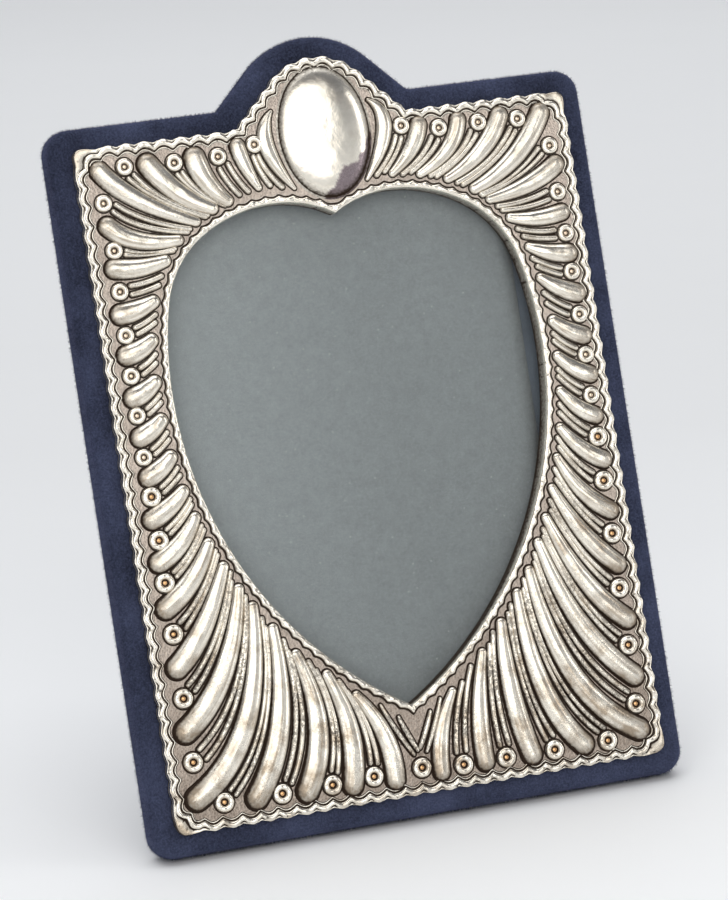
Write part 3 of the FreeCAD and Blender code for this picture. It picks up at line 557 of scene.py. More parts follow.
def silver_finish():
    """Polished, hand worked silver, dark in its chased lines and warm in the studs' hearts, with
    painted shade on the domes' flanks and ends and a painted reflection low on the oval.
    """
    nodes, shades = Finish("chased_silver"), colours()
    where = nodes.where
    tarnish, gilt, streak, wear, patina = map(
        nodes.carried, ("tarnish", "gilt", "streak", "wear", "patina"))
    clouds = nodes.noise(where, 9.0 * MM, 3.0)
    specks = nodes.noise(where, 0.7 * MM, 3.0, 0.6)
    # Darker towards the bottom: the domes' painted shade spreads wider there, and there are more
    # pits and stains.
    low = nodes.between(nodes.parts(where)[2], 0.11, 0.02)
    pits = (nodes.between(nodes.noise(where, 0.8 * MM, 3.0, 0.65), 0.47, 0.56) * wear
            * nodes.between(clouds, 0.64, 0.44) * (low * 0.65 + 0.35))
    grime_and_shade = (tarnish * (low * 0.9 + 1.12) + (specks - 0.5) * 1.2 * (tarnish * 2.5).kept()
             + nodes.between(clouds, 0.58, 0.80) * 0.12 + pits * 0.75).kept()
    stains = nodes.between(nodes.noise(where, 5.0 * MM, 4.0), 0.46, 0.75) * (low * 0.75 + 0.3)
    stained = nodes.blend((stains + streak * 0.8).kept(), rgba(shades.silver), rgba(shades.stain))
    # The painted reflection low on the oval.
    reflected = nodes.blend(patina, stained, rgba(shades.patina))
    warm = nodes.blend(gilt, reflected, rgba(shades.gilt))
    hammering = nodes.noise(where, 2.6 * MM)
    scratches = nodes.noise(where, 0.35 * MM)
    return nodes.coated({
        "Base Color": nodes.blend(grime_and_shade, warm, rgba(shades.tarnish)),
        "Metallic": 1.0 - grime_and_shade * 0.88,
        "Roughness": grime_and_shade * 0.4 + streak * 0.1 + specks * 0.08 + 0.14,
        "Specular IOR Level": 0.12,
    }, hammering * 0.5 + scratches * 0.10 - pits * 0.8, 0.10 * MM)


def ground_finish():
    """Silver matted with a punch: close dimples, dull and tarnished, and darker towards the
    bottom.
    """
    nodes, shades = Finish("matted_silver"), colours()
    where = nodes.where
    dimples = nodes.number("ShaderNodeTexVoronoi", {"feature": "SMOOTH_F1"},
                           {"Vector": where, "Scale": 1.0 / (0.62 * MM), "Smoothness": 0.35})
    clouds = nodes.noise(where, 6.0 * MM, 3.0)
    # The dimples' hollows and the bottom of the sheet are darker.
    grime_and_shade = (nodes.between(dimples, 0.55, 0.15) * 0.35 + nodes.between(clouds, 0.4, 0.75) * 0.35
             + nodes.between(nodes.parts(where)[2], 0.085, 0.01) * 0.55).kept()
    return nodes.coated({
        "Base Color": nodes.blend(grime_and_shade, rgba(shades.ground), rgba(shades.ground_shade)),
        "Metallic": 0.85,
        "Roughness": clouds * 0.12 + 0.36,
    }, dimples, 0.22 * MM)


def velvet_finish():
    """Short navy pile, brushed this way and that, lighter at the foot: painted light with a little
    dust.
    """
    nodes, shades = Finish("navy_velvet"), colours()
    where = nodes.where
    brushing = nodes.noise(where, 14.0 * MM, 3.0)
    pile = nodes.noise(where, 0.55 * MM, 3.0, 0.75)
    # Lighter towards the foot: painted light, with a little dust.
    dust_and_light = nodes.between(nodes.parts(where)[2], 0.06, 0.0)
    light = (nodes.between(brushing, 0.35, 0.7) * 0.35 + nodes.between(pile, 0.38, 0.70) * 0.5
             + dust_and_light * 0.16).kept()
    return nodes.coated({
        "Base Color": nodes.blend(light, rgba(shades.velvet, 0.5), rgba(shades.velvet, 2.9)),
        "Roughness": brushing * 0.1 + 0.85,
        "Specular IOR Level": 0.1,
        "Sheen Weight": 0.35,
        "Sheen Roughness": 0.4,
        "Sheen Tint": rgba(shades.velvet_sheen),
    }, pile + brushing * 0.4, 0.25 * MM)


def cloth_finish(name, shade, thread):
    """A plain fine weave with threads of a width."""
    nodes = Finish(name)
    squeezed = nodes.vector("MULTIPLY", nodes.where, (1.0, 0.5, 1.0))
    warp, weft = (nodes.number(
        "ShaderNodeTexWave", {"bands_direction": axis, "wave_profile": "SIN"},
        {"Vector": squeezed, "Scale": 0.31 / thread, "Distortion": 0.4, "Detail Scale": 2.0},
        1) for axis in "XZ")
    weave = (warp + weft) * 0.5
    fade = nodes.noise(nodes.where, 8.0 * MM)
    return nodes.coated({
        "Base Color": nodes.blend((weave * 0.6 + fade * 0.4).kept(), rgba(shade, 0.6),
                                  rgba(shade, 1.5)),
        "Roughness": 0.85 - weave * 0.15,
        "Sheen Weight": 0.2,
    }, weave, 0.08 * MM)


def card_finish():
    """Matt grey card with painted light, paler to one side and to the top, and with mottling and
    specks of dust.
    """
    nodes, shades = Finish("grey_card"), colours()
    where = nodes.where
    mottle = nodes.between(nodes.noise(where, 3.0 * MM, 5.0, 0.65), 0.3, 0.7)
    fibres = nodes.between(nodes.noise(where, 0.7 * MM, 3.0, 0.7), 0.3, 0.7)
    across, _, up = nodes.parts(where)
    # Painted light: the card is paler to the left and towards the top.
    painted_light = nodes.between(across, 0.01, -0.05) * 0.55 + nodes.between(up, 0.04, 0.17) * 0.25
    paper = nodes.blend((mottle * 0.24 + fibres * 0.34 + painted_light * 0.8 + 0.03).kept(),
                        rgba(shades.card, 0.74), rgba(shades.card, 1.36))
    cells = nodes.make("ShaderNodeTexVoronoi", None, {"Vector": where, "Scale": 1.0 / (2.4 * MM)})
    chosen = nodes.number("ShaderNodeSeparateColor", None, {0: cells.outputs[1]})
    dust_and_light = nodes.between(cells.outputs[0], 0.13, 0.05) * nodes.between(chosen, 0.66, 0.68)
    return nodes.coated({
        "Base Color": nodes.blend(dust_and_light * 0.55, paper, rgba(shades.dust_and_light)),
        "Roughness": mottle * 0.15 + 0.75,
        "Specular IOR Level": 0.2,
    }, fibres * 0.5 + mottle * 0.5, 0.03 * MM)


def glass_finish():
    """Clear flat glass with a faint film of dust."""
    nodes, shades = Finish("picture_glass"), colours()
    clear = nodes.out("ShaderNodeBsdfTransparent", None, {"Color": rgba(shades.glass)})
    film = nodes.noise(nodes.where, 4.0 * MM, 4.0)
    nodes.feed(nodes.shader, {
        "Base Color": rgba(shades.glass_gloss), "Roughness": film * 0.05 + 0.02})
    edge = nodes.number("ShaderNodeFresnel", None, {"IOR": 1.35})
    return nodes.mixed((edge * 0.6 + nodes.between(film, 0.4, 0.8) * 0.015).kept(),
                       clear, nodes.shader.outputs[0])


def board_finish(name, shade):
    """Pressed board: fine fibres and a mottled face."""
    nodes = Finish(name)
    stretched = nodes.vector("MULTIPLY", nodes.where, (1.0, 1.0, 0.2))
    grain = nodes.noise(stretched, 0.6 * MM, 4.0, 0.6)
    mottle = nodes.noise(nodes.where, 6.0 * MM, 3.0)
    return nodes.coated({
        "Base Color": nodes.blend((grain * 0.6 + mottle * 0.4).kept(), rgba(shade, 0.7),
                                  rgba(shade, 1.25)),
        "Roughness": grain * 0.15 + 0.7,
    }, grain, 0.1 * MM)


def nickel_finish():
    """Plated strip metal, brushed along the hinge and a little worn."""
    nodes, shades = Finish("plated_nickel"), colours()
    stretched = nodes.vector("MULTIPLY", nodes.where, (0.06, 1.0, 1.0))
    brushing = nodes.noise(stretched, 0.12 * MM)
    worn = nodes.between(nodes.noise(nodes.where, 2.5 * MM, 4.0), 0.56, 0.72)
    return nodes.coated({
        "Base Color": nodes.blend(worn * 0.5, rgba(shades.nickel), rgba(shades.worn_nickel)),
        "Metallic": 1.0,
        "Roughness": brushing * 0.15 + worn * 0.15 + 0.2,
    }, brushing, 0.02 * MM)


def seen(nodes):
    """1 for rays that look straight at something, or by way of metal or glass."""
    rays = nodes.make("ShaderNodeLightPath")
    camera, glossy, through = (Number(nodes, rays.outputs["Is " + kind + " Ray"])
                               for kind in ("Camera", "Glossy", "Transmission"))
    return (camera + glossy + through).kept()


def floor_finish():
    """The pale, faintly uneven table top, with painted shade behind the frame, which far off
    passes into the backdrop.
    """
    nodes, shades = Finish("pale_floor"), colours()
    mottle = nodes.noise(nodes.where, 0.05, 4.0) - 0.5
    away = nodes.measure("LENGTH", nodes.where)
    behind = nodes.measure("DOT_PRODUCT", nodes.where, BEHIND_THE_FRAME)
    shaded = (nodes.between(behind, 0.08, 0.35) * 0.75 - nodes.between(behind, 0.5, 1.1) * 0.75
              + mottle * 0.1).kept()
    nodes.feed(nodes.shader, {
        "Base Color": nodes.blend(shaded, rgba(shades.floor), rgba(shades.floor, 0.86)),
        "Roughness": mottle * 0.1 + 0.55,
        "Specular IOR Level": 0.25})
    glow = nodes.out("ShaderNodeEmission", None, {"Color": rgba(shades.backdrop)})
    return nodes.mixed(seen(nodes) * nodes.between(away, 1.7, 3.2), nodes.shader.outputs[0], glow)


made_finishes = {}


def finish_named(name):
    """Each finish is made once and shared."""
    makers = {
        "silver": silver_finish, "ground": ground_finish, "velvet": velvet_finish,
        "card": card_finish, "glass": glass_finish, "nickel": nickel_finish,
        "floor": floor_finish,
        "ribbon": lambda: cloth_finish("woven_ribbon", colours().ribbon, 0.35 * MM),
        "lining": lambda: cloth_finish("blue_lining", colours().lining, 0.3 * MM),
        "board": lambda: board_finish("pressed_board", colours().board),
        "filler": lambda: board_finish("backing_filler", colours().filler),
    }
    if name not in made_finishes:
        made_finishes[name] = makers[name]()
    return made_finishes[name]


def arc(centre, radius, start, end, count):
    """Points (x, z) along an arc, both ends among them."""
    return [(centre[0] + radius * math.cos(start + (end - start) * i / (count - 1)),
             centre[1] + radius * math.sin(start + (end - start) * i / (count - 1)))
            for i in range(count)]


def straight(start, end, count):
    """Points between two points, without the ends."""
    return [(start[0] + (end[0] - start[0]) * i / (count + 1),
             start[1] + (end[1] - start[1]) * i / (count + 1)) for i in range(1, count + 1)]


def arch_loop(grow, corner, cove, corner_count=9, side_count=60, foot_stops=None):
    """The front's arched outline grown outwards, as points (x, z) from its left bottom corner.
    Loops of other growths have their points in the same order and number."""
    s = sizes()
    half, foot, shoulder = s.silver_width / 2 + grow, -grow, s.silver_height + grow
    slope, quarter = math.pi / 4, math.pi / 2
    crown = s.arch_radius + grow
    run = (crown - grow * math.cos(slope)) / math.sin(slope)
    apex = shoulder + run * math.tan(slope)
    cove_reach = cove * math.tan(slope / 2)

    def bend(x, z, radius, start, end, count=corner_count):
        return arc((x, z), radius, start, end, count)

    left_foot = bend(-half + corner, foot + corner, corner, 2 * quarter, 3 * quarter)
    right_foot = bend(half - corner, foot + corner, corner, -quarter, 0)
    right_top = bend(half - corner, shoulder - corner, corner, 0, quarter)
    left_top = bend(-half + corner, shoulder - corner, corner, quarter, 2 * quarter)
    right_cove = bend(run + cove_reach, shoulder + cove, cove, -quarter, -quarter - slope)
    left_cove = bend(-run - cove_reach, shoulder + cove, cove, -quarter + slope, -quarter)
    top = bend(0, apex - crown / math.cos(slope), crown, quarter - slope, quarter + slope,
               5 * corner_count)
    if foot_stops:
        foot_line = [(x, foot) for x in foot_stops]
    else:
        foot_line = straight(left_foot[-1], right_foot[0], side_count)
    points = left_foot + foot_line
    for last, following, count in (
            (right_foot, right_top, side_count), (right_top, right_cove, side_count // 4),
            (right_cove, top, corner_count), (top, left_cove, corner_count),
            (left_cove, left_top, side_count // 4), (left_top, left_foot, side_count)):
        points += last + straight(last[-1], following[0], count)
    return points


def heart_loop(grow, arc_count=60, tip_count=5):
    """The heart's outline grown outwards, from its tip up its right side and round to the tip."""
    s = sizes()
    x, z, heading = 0.0, s.heart_tip, HEART_TIP_RISE
    arcs = []
    for across, up in HEART_SHARES:
        next_x, next_z = across * s.heart_half_width, s.heart_tip + up * s.heart_height
        turn = 2 * (math.atan2(next_z - z, next_x - x) - heading)
        radius = math.hypot(next_x - x, next_z - z) / (2 * math.sin(turn / 2))
        centre = (x - radius * math.sin(heading), z + radius * math.cos(heading))
        arcs.append([centre, radius + grow, heading - math.pi / 2, heading - math.pi / 2 + turn])
        x, z, heading = next_x, next_z, heading + turn
    arcs[-1][3] = math.acos(-arcs[-1][0][0] / arcs[-1][1])
    right = [(0.0, s.heart_tip - grow / math.cos(HEART_TIP_RISE))]
    first = arc(*arcs[0], arc_count)
    right += straight(right[0], first[0], tip_count) if grow else [right[0]] * tip_count
    for i, piece in enumerate(arcs):
        count = arc_count // 2 if i else arc_count
        right += arc(*piece, count)[1 if i else 0:]
    left = [(-x, z) for x, z in reversed(right[1:-1])]
    return right + left


def linked(name, data):
    """A new object in the scene."""
    made = bpy.data.objects.new(name, data)
    bpy.context.scene.collection.objects.link(made)
    return made


def drawn(shape, name, material, place=STANDING):
    """A drawn shape as a mesh in its place and its finish."""
    mesh = bpy.data.meshes.new(name)
    shape.to_mesh(mesh)
    shape.free()
    mesh.transform(place)
    mesh.materials.append(finish_named(material))
    return mesh


def settled(piece, keep_marks=False):
    """The plain mesh that an object's modifiers make of it. The object goes."""
    graph = bpy.context.evaluated_depsgraph_get()
    mesh = bpy.data.meshes.new_from_object(
        piece.evaluated_get(graph), preserve_all_data_layers=keep_marks, depsgraph=graph)
    bpy.data.objects.remove(piece)
    return mesh


def face_outwards(shape, facing_front=lambda face: True):
    """Turns a shape's faces so that those on its front look to the front."""
    bmesh.ops.recalc_face_normals(shape, faces=shape.faces[:])
    if sum(f.normal.y * f.calc_area() for f in shape.faces if facing_front(f)) > 0:
        bmesh.ops.reverse_faces(shape, faces=shape.faces[:])


def join_rings(shape, first, second):
    """A band of faces between two closed rings with as many points."""
    for i in range(len(first)):
        j = (i + 1) % len(first)
        shape.faces.new((first[i], first[j], second[j], second[i]))


def new_piece(name, mesh, body="frame", smooth=True):
    """An object for a finished mesh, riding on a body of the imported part."""
    piece = linked(name, mesh)
    if smooth:
        mesh.shade_smooth()
    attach(piece, body)
    return piece


def guide(name, points, **marks):
    """A set of points that a node tree reads, with its own numbers at each point."""
    mesh = bpy.data.meshes.new(name)
    mesh.from_pydata([tuple(p) for p in points], [], [])
    for key, values in marks.items():
        layer = mesh.attributes.new(key, "FLOAT", "POINT")
        layer.data.foreach_set("value", [float(v) for v in values])
    return linked(name, mesh)


def smooth_rows(rows, steps):
    """Rows of numbers with more rows eased in between them."""
    eased = []
    last = len(rows) - 1
    for i in range(last):
        before, start = rows[max(i - 1, 0)], rows[i]
        end, after = rows[i + 1], rows[min(i + 2, last)]
        for k in range(steps):
            t = k / steps
            eased.append(tuple(
                0.5 * (2 * b + (c - a) * t + (2 * a - 5 * b + 4 * c - d) * t * t
                       + (3 * b - a - 3 * c + d) * t ** 3)
                for a, b, c, d in zip(before, start, end, after)))
    eased.append(tuple(rows[-1]))
    return eased


def profile_guide(name, rows, steps=2):
    """A profile as points: each row is three numbers, then its rise, its tarnish with painted
    shade, and gilt.
    """
    rows = smooth_rows(rows, steps) if steps > 1 else rows
    return guide(name, [row[:3] for row in rows], rise=[row[3] for row in rows],
                 tarnish=[min(max(row[4], 0.0), 1.0) for row in rows],
                 gilt=[row[5] for row in rows])


def spine_curves(name, rows):
    """Curves for domed strips. A row is the outer end, middle and inner end (x, z), and the
    half widths there, in metres."""
    data = bpy.data.curves.new(name, "CURVE")
    data.dimensions = "3D"
    data.resolution_u = 16
    for ends, halves in rows:
        spline = data.splines.new("NURBS")
        spline.points.add(2)
        middle = [2 * ends[1][k] - (ends[0][k] + ends[2][k]) / 2 for k in (0, 1)]
        middle_half = 2 * halves[1] - (halves[0] + halves[2]) / 2
        for point, (x, z), half in zip(spline.points, (ends[0], middle, ends[2]),
                                       (halves[0], middle_half, halves[2])):
            point.co = (x, -sizes().sheet_depth, z, 1.0)
            point.radius = half
        spline.order_u = 3
        spline.use_endpoint_u = True
    return linked(name, data)


def tree_with(name, sockets):
    """A geometry node tree with named inputs and one mesh output."""
    tree = bpy.data.node_groups.new(name, "GeometryNodeTree")
    kinds = {"object": "NodeSocketObject", "count": "NodeSocketInt", "size": "NodeSocketFloat",
             "finish": "NodeSocketMaterial"}
    for socket, kind in sockets.items():
        tree.interface.new_socket(socket, in_out="INPUT", socket_type=kinds[kind])
    tree.interface.new_socket("Mesh", in_out="OUTPUT", socket_type="NodeSocketGeometry")
    nodes = Nodes(tree)
    group = nodes.make("NodeGroupInput")
    return tree, nodes, {n: Number(nodes, group.outputs[n]) for n in sockets}


def end_tree(nodes, mesh, material, merge=1e-7):
    """Closes a tree: joined seams, smooth faces, real geometry and its finish."""
    merged = nodes.out("GeometryNodeMergeByDistance", None, {"Geometry": mesh, "Distance": merge})
    smooth = nodes.out("GeometryNodeSetShadeSmooth", None, {"Geometry": merged})
    real = nodes.out("GeometryNodeRealizeInstances", None, {"Geometry": smooth})
    coated = nodes.out("GeometryNodeSetMaterial", None, {"Geometry": real, "Material": material})
    nodes.make("NodeGroupOutput", None, {"Mesh": coated})


def grown(name, tree, values, helpers=()):
    """The mesh that a node tree makes."""
    holder = linked(name, bpy.data.meshes.new(name))
    modifier = holder.modifiers.new("Making", "NODES")
    modifier.node_group = tree
    for item in tree.interface.items_tree:
        if item.in_out == "INPUT" and item.name in values:
            modifier[item.identifier] = values[item.name]
    mesh = settled(holder, keep_marks=True)
    for helper in helpers:
        bpy.data.objects.remove(helper)
    return mesh


def raised_piece(name, tree, values, profile, *guides):
    """A piece of raised silver that a node tree makes on the upright front."""
    rows = len(profile.data.vertices)
    mesh = grown(name, tree, {**values, "Profile": profile, "Rows": rows,
                              "Finish": finish_named("silver")}, (profile, *guides))
    if sum(p.normal.y * p.area for p in mesh.polygons) > 0:
        mesh.flip_normals()
    mesh.transform(STANDING)
    new_piece(name, mesh)


def profile_at(nodes, given, across):
    """Reads the profile at a share of its rows: its three numbers, rise, tarnish with painted
    shade, and gilt.
    """
    source = nodes.shape_of(given["Profile"])
    row = (across * (given["Rows"] - 1.0)).maths("ROUND")
    place = nodes.out("GeometryNodeInputPosition")
    return nodes.parts(nodes.sampled(source, place, row, "FLOAT_VECTOR")) + [
        nodes.sampled(source, nodes.stored(key), row) for key in ("rise", "tarnish", "gilt")]


def grid_on(nodes, count, across, around):
    """A square grid for each of a count of things, its place on the grid and which it is."""
    grid = nodes.out("GeometryNodeMeshGrid", None, {
        "Size X": 1.0, "Size Y": 1.0, "Vertices X": across, "Vertices Y": around})
    spots = nodes.out("GeometryNodePoints", None, {"Count": count})
    spots = nodes.out("GeometryNodeStoreNamedAttribute", {"data_type": "INT"}, {
        "Geometry": spots, "Name": "which", "Value": nodes.out("GeometryNodeInputIndex")})
    placed = nodes.out("GeometryNodeInstanceOnPoints", None, {"Points": spots, "Instance": grid})
    real = nodes.out("GeometryNodeRealizeInstances", None, {"Geometry": placed})
    x, y, _ = nodes.parts(nodes.out("GeometryNodeInputPosition"))
    return real, x + 0.5, y + 0.5, nodes.stored("which", "INT")


def raised(nodes, mesh, flat, height, **marks):
    """Moves a mesh's points to places on the front and out from it, with marks for the finish."""
    for key, value in marks.items():
        mesh = nodes.out("GeometryNodeStoreNamedAttribute", {"data_type": "FLOAT"},
                         {"Geometry": mesh, "Name": key, "Value": value})
    place = nodes.vector("ADD", flat, nodes.joined(Y=height * -1.0))
    return nodes.out("GeometryNodeSetPosition", None, {"Geometry": mesh, "Position": place})


def domed_strip_tree():
    """Hollow pressed strips: each follows a curve, round at both ends, with a chased line and a
    soft collar of pushed up metal round its foot."""
    tree, nodes, given = tree_with("Domed strips", {
        "Spines": "object", "Profile": "object", "Rows": "count", "Around": "count",
        "Relief": "size", "Full Half Width": "size", "Dents": "size", "Streaks": "size",
        "End Shade": "size", "Wear": "size", "Seed": "count", "Finish": "finish"})
    spines = nodes.shape_of(given["Spines"])
    count = nodes.out("GeometryNodeAttributeDomainSize", {"component": "CURVE"},
                      {"Geometry": spines}, 4)
    mesh, across, around, which = grid_on(nodes, count, given["Rows"], given["Around"])
    share, reach, lift, rise, tarnish, _ = profile_at(nodes, given, across)
    side_end, back_end = STRIP_SIDE_SHARE, 0.5 + STRIP_SIDE_SHARE
    along = nodes.between(around, 0.0, side_end) - nodes.between(around, 0.5, back_end)
    angle = (nodes.between(around, side_end, 0.5)
             + nodes.between(around, back_end, 1.0)) * math.pi
    sample = nodes.make("GeometryNodeSampleCurve", {"data_type": "FLOAT"}, {
        "Curves": spines, "Value": nodes.out("GeometryNodeInputRadius"), "Factor": along,
        "Curve Index": which})
    half, place, tangent = Number(nodes, sample.outputs[0]), sample.outputs[1], sample.outputs[2]
    sideways = nodes.vector("NORMALIZE", nodes.vector("CROSS_PRODUCT", tangent, (0, -1, 0)))
    cosine, sine = angle.maths("COSINE"), angle.maths("SINE")
    direction = nodes.vector("ADD", nodes.scaled(sideways, cosine), nodes.scaled(tangent, sine))
    flat = nodes.vector("ADD", place, nodes.scaled(direction, half * share + reach))
    seed = given["Seed"] * 3.7
    dents = nodes.seeded_noise(flat, seed, 1.0 / (4.5 * MM), 1.0) - 0.5
    lengthways = nodes.joined(X=share * cosine * 2.6, Y=along * 2.2, Z=which * 3.1)
    streaks = nodes.seeded_noise(lengthways, seed, 1.0, 1.0) - 0.5
    fullness = (half / given["Full Half Width"]) ** 0.6
    height = (fullness * given["Relief"] + dents * given["Dents"]
              + streaks * given["Streaks"]) * lift
    fine = nodes.joined(X=share * cosine * 11.0, Y=along * 2.0 + share * sine, Z=which * 2.3)
    hairlines = nodes.seeded_noise(fine, seed, 1.0, 2.0)
    # Painted shade: each flute darkens towards its outer end, in its tarnish and in its streaks.
    bulb = (1.0 - along * 5.0).kept() * share * given["End Shade"]
    end_tree(nodes, raised(
        nodes, mesh, flat, height + rise, tarnish=tarnish + bulb * 0.35,
        streak=nodes.between(hairlines, 0.48, 0.72) + bulb, wear=given["Wear"]), given["Finish"])
    return tree


def round_boss_tree():
    """Round or oval bosses at given spots, each with its own half sizes and height."""
    tree, nodes, given = tree_with("Round bosses", {
        "Spots": "object", "Profile": "object", "Rows": "count", "Around": "count",
        "Dents": "size", "Dent Size": "size", "Seed": "count", "Finish": "finish"})
    spots = nodes.shape_of(given["Spots"])
    count = nodes.out("GeometryNodeAttributeDomainSize", {"component": "MESH"},
                      {"Geometry": spots}, 0)
    mesh, across, around, which = grid_on(nodes, count, given["Rows"], given["Around"])
    share, reach, lift, rise, tarnish, gilt = profile_at(nodes, given, across)
    half_width, half_height, dome, petals, gilding, patina = (
        nodes.sampled(spots, nodes.stored(key), which)
        for key in ("half_width", "half_height", "dome", "petals", "gilding", "patina"))
    middle = nodes.sampled(spots, nodes.out("GeometryNodeInputPosition"), which, "FLOAT_VECTOR")
    angle = around * (2 * math.pi)
    flat = nodes.vector("ADD", middle, nodes.joined(
        X=angle.maths("COSINE") * (half_width * share + reach),
        Z=angle.maths("SINE") * (half_height * share + reach)))
    dents = nodes.seeded_noise(flat, given["Seed"] * 1.3,
                               given["Dent Size"].maths("POWER", -1.0), 2.0) - 0.5
    waves = (angle * 7.0).maths("COSINE") * petals * share
    height = (dome * (waves + 1.0) + dents * given["Dents"]) * lift + rise
    # A painted reflection: a grey patch on the oval's lower right.
    toward = (angle + REFLECTION_TURN).maths("COSINE") * share
    patina = nodes.between(toward + dents * 0.8, 0.67, 0.70) * patina
    end_tree(nodes, raised(nodes, mesh, flat, height, tarnish=tarnish + patina * 0.2,
                           gilt=gilt * gilding, patina=patina), given["Finish"])
    return tree


def scalloped_border_tree():
    """A wavy raised ribbon with a chased line beside it, along a closed line, out to an edge."""
    tree, nodes, given = tree_with("Scalloped border", {
        "Line": "object", "Edge": "object", "Points": "count", "Profile": "object",
        "Rows": "count", "Scallops": "count", "Scallop Depth": "size", "Usual Reach": "size",
        "Edge Waves": "size", "Unevenness": "size", "Seed": "count", "Finish": "finish"})
    mesh, across, around, _ = grid_on(nodes, 1, given["Rows"], given["Points"] + 1.0)
    toward, height, easing, rise, tarnish, notch = profile_at(nodes, given, across)
    point = (around * given["Points"]).maths("ROUND").maths("MODULO", given["Points"])
    place = nodes.out("GeometryNodeInputPosition")
    line_guide = nodes.shape_of(given["Line"])
    line = nodes.sampled(line_guide, place, point, "FLOAT_VECTOR")
    edge = nodes.sampled(nodes.shape_of(given["Edge"]), place, point, "FLOAT_VECTOR")
    run = nodes.sampled(line_guide, nodes.stored("run"), point)
    outward = nodes.vector("SUBTRACT", edge, line)
    extra = nodes.measure("LENGTH", outward) - given["Usual Reach"]
    outward = nodes.vector("NORMALIZE", outward)
    seed = given["Seed"]
    uneven = nodes.seeded_noise(line, seed * 2.1, 1.0 / (6.0 * MM), 2.0) - 0.5
    swing = ((run * given["Scallops"] + uneven * 0.3) * math.pi).maths("SINE")
    scallop = (swing * swing + 0.03) ** 0.5
    kept_wave = 1.0 - easing * (1.0 - given["Edge Waves"])
    wave = (scallop - 0.6) * given["Scallop Depth"] * kept_wave
    flat = nodes.vector("ADD", line, nodes.scaled(outward, toward + wave + extra * easing))
    corner = nodes.between(extra, 0.4 * MM, 1.4 * MM)
    cusp = (nodes.between(scallop, 0.7, 0.3) + corner).kept()
    height = height + notch * (1.0 - cusp) * LOBE_RISE
    worked = nodes.seeded_noise(flat, seed * 1.7, 1.0 / (1.6 * MM), 1.0) - 0.5
    marks = nodes.seeded_noise(flat, seed * 1.1, 1.0 / (1.1 * MM), 2.0)
    # The flat of the sheet at the corners is greyed through the streak mark.
    end_tree(nodes, raised(
        nodes, mesh, flat,
        height + rise + worked * given["Unevenness"] * (height * (2.0 / MM)).kept(),
        tarnish=tarnish + nodes.between(marks, 0.6, 0.7) * 0.55 + notch * cusp,
        streak=corner * easing), given["Finish"])
    return tree


def pile_tree():
    """Short fine hairs over a cloth's face, leaning a little this way and that."""
    tree, nodes, given = tree_with("Velvet pile", {
        "Cloth": "object", "Hairs per Area": "size", "Height": "size",
        "Hair Radius": "size", "Seed": "count", "Finish": "finish"})
    spread = nodes.make("GeometryNodeDistributePointsOnFaces", None, {
        "Mesh": nodes.shape_of(given["Cloth"]), "Density": given["Hairs per Area"],
        "Seed": given["Seed"]})
    lean = nodes.out("FunctionNodeRandomValue", {"data_type": "FLOAT_VECTOR"}, {
        0: (-0.55, -0.55, -0.75), 1: (0.55, 0.55, 0.35), "Seed": given["Seed"]})
    stood = nodes.out("FunctionNodeAlignRotationToVector", {"axis": "Z"},
                      {"Vector": nodes.vector("ADD", spread.outputs[1], lean)})
    hair = nodes.out("GeometryNodeMeshCone", {"fill_type": "NONE"}, {
        "Vertices": 3, "Radius Top": 0.0, "Radius Bottom": given["Hair Radius"],
        "Depth": given["Height"]})
    vary = nodes.out("FunctionNodeRandomValue", {"data_type": "FLOAT"}, {
        2: 0.6, 3: 1.15, "Seed": given["Seed"]}, 1)
    placed = nodes.out("GeometryNodeInstanceOnPoints", None, {
        "Points": spread.outputs[0], "Instance": hair, "Rotation": stood,
        "Scale": nodes.joined(X=1.0, Y=1.0, Z=vary)})
    end_tree(nodes, placed, given["Finish"], merge=0.0)
    return tree


def collar_rows(collar):
    """Rows over a collar, each given as its reach and rise in millimetres, and its tarnish."""
    return [(1.0, reach * MM, 0.0, rise * MM, dark, 0.0) for reach, rise, dark in collar]


def dome_rows(count, power, collar, shade_start, shade=0.8):
    """Rows of a dome from its middle to its foot, and on over its collar. Towards the foot the
    dome darkens: painted shade on its flanks.
    """
    rows = []
    for i in range(count):
        share = math.sin(math.pi / 2 * i / (count - 1)) ** 0.9
        lift = (1 - share ** power) ** 0.55
        dark = max(0.0, (share - shade_start) / (1 - shade_start)) ** 2.2 * shade
        rows.append((share, 0.0, lift, 0.0, dark, 0.0))
    return rows + collar_rows(collar)


def flute_shape(side, flutes, i):
    """A flute's three places (x, z) and its three half widths."""
    s, row = sizes(), flutes[i]
    half = s.silver_width / 2
    ends = [(side * row[k] * half, row[k + 1] * s.silver_height) for k in (0, 2, 4)]
    return ends, [row[6] * half * w / 2 for w in (FLUTE_WIDTHS if i else CRESCENT_WIDTHS)]


def stud_radius(i):
    """The radius of a side's stud, counted from the top."""
    return (sizes().small_stud if i < SMALL_STUD_COUNT else sizes().large_stud) / 2


def on_curve(values, t):
    """A number on the smooth line through three, at a share of the way."""
    start, middle, end = values
    pull = 2 * middle - (start + end) / 2
    return (1 - t) ** 2 * start + 2 * t * (1 - t) * pull + t * t * end


def strip_at(shape, t):
    """A strip's x, z and half width at a share of its length."""
    ends, halves = shape
    return (*(on_curve([end[k] for end in ends], t) for k in (0, 1)), on_curve(halves, t))


def flute_edge(shape, t, toward):
    """The point on a flute's edge that faces another point."""
    x, z, half = strip_at(shape, t)
    ahead_x, ahead_z, _ = strip_at(shape, t + SLOPE_STEP)
    behind_x, behind_z, _ = strip_at(shape, t - SLOPE_STEP)
    across = Vector((behind_z - ahead_z, ahead_x - behind_x)).normalized() * half
    if across.dot(Vector(toward) - Vector((x, z))) < 0:
        across = -across
    return Vector((x, z)) + across


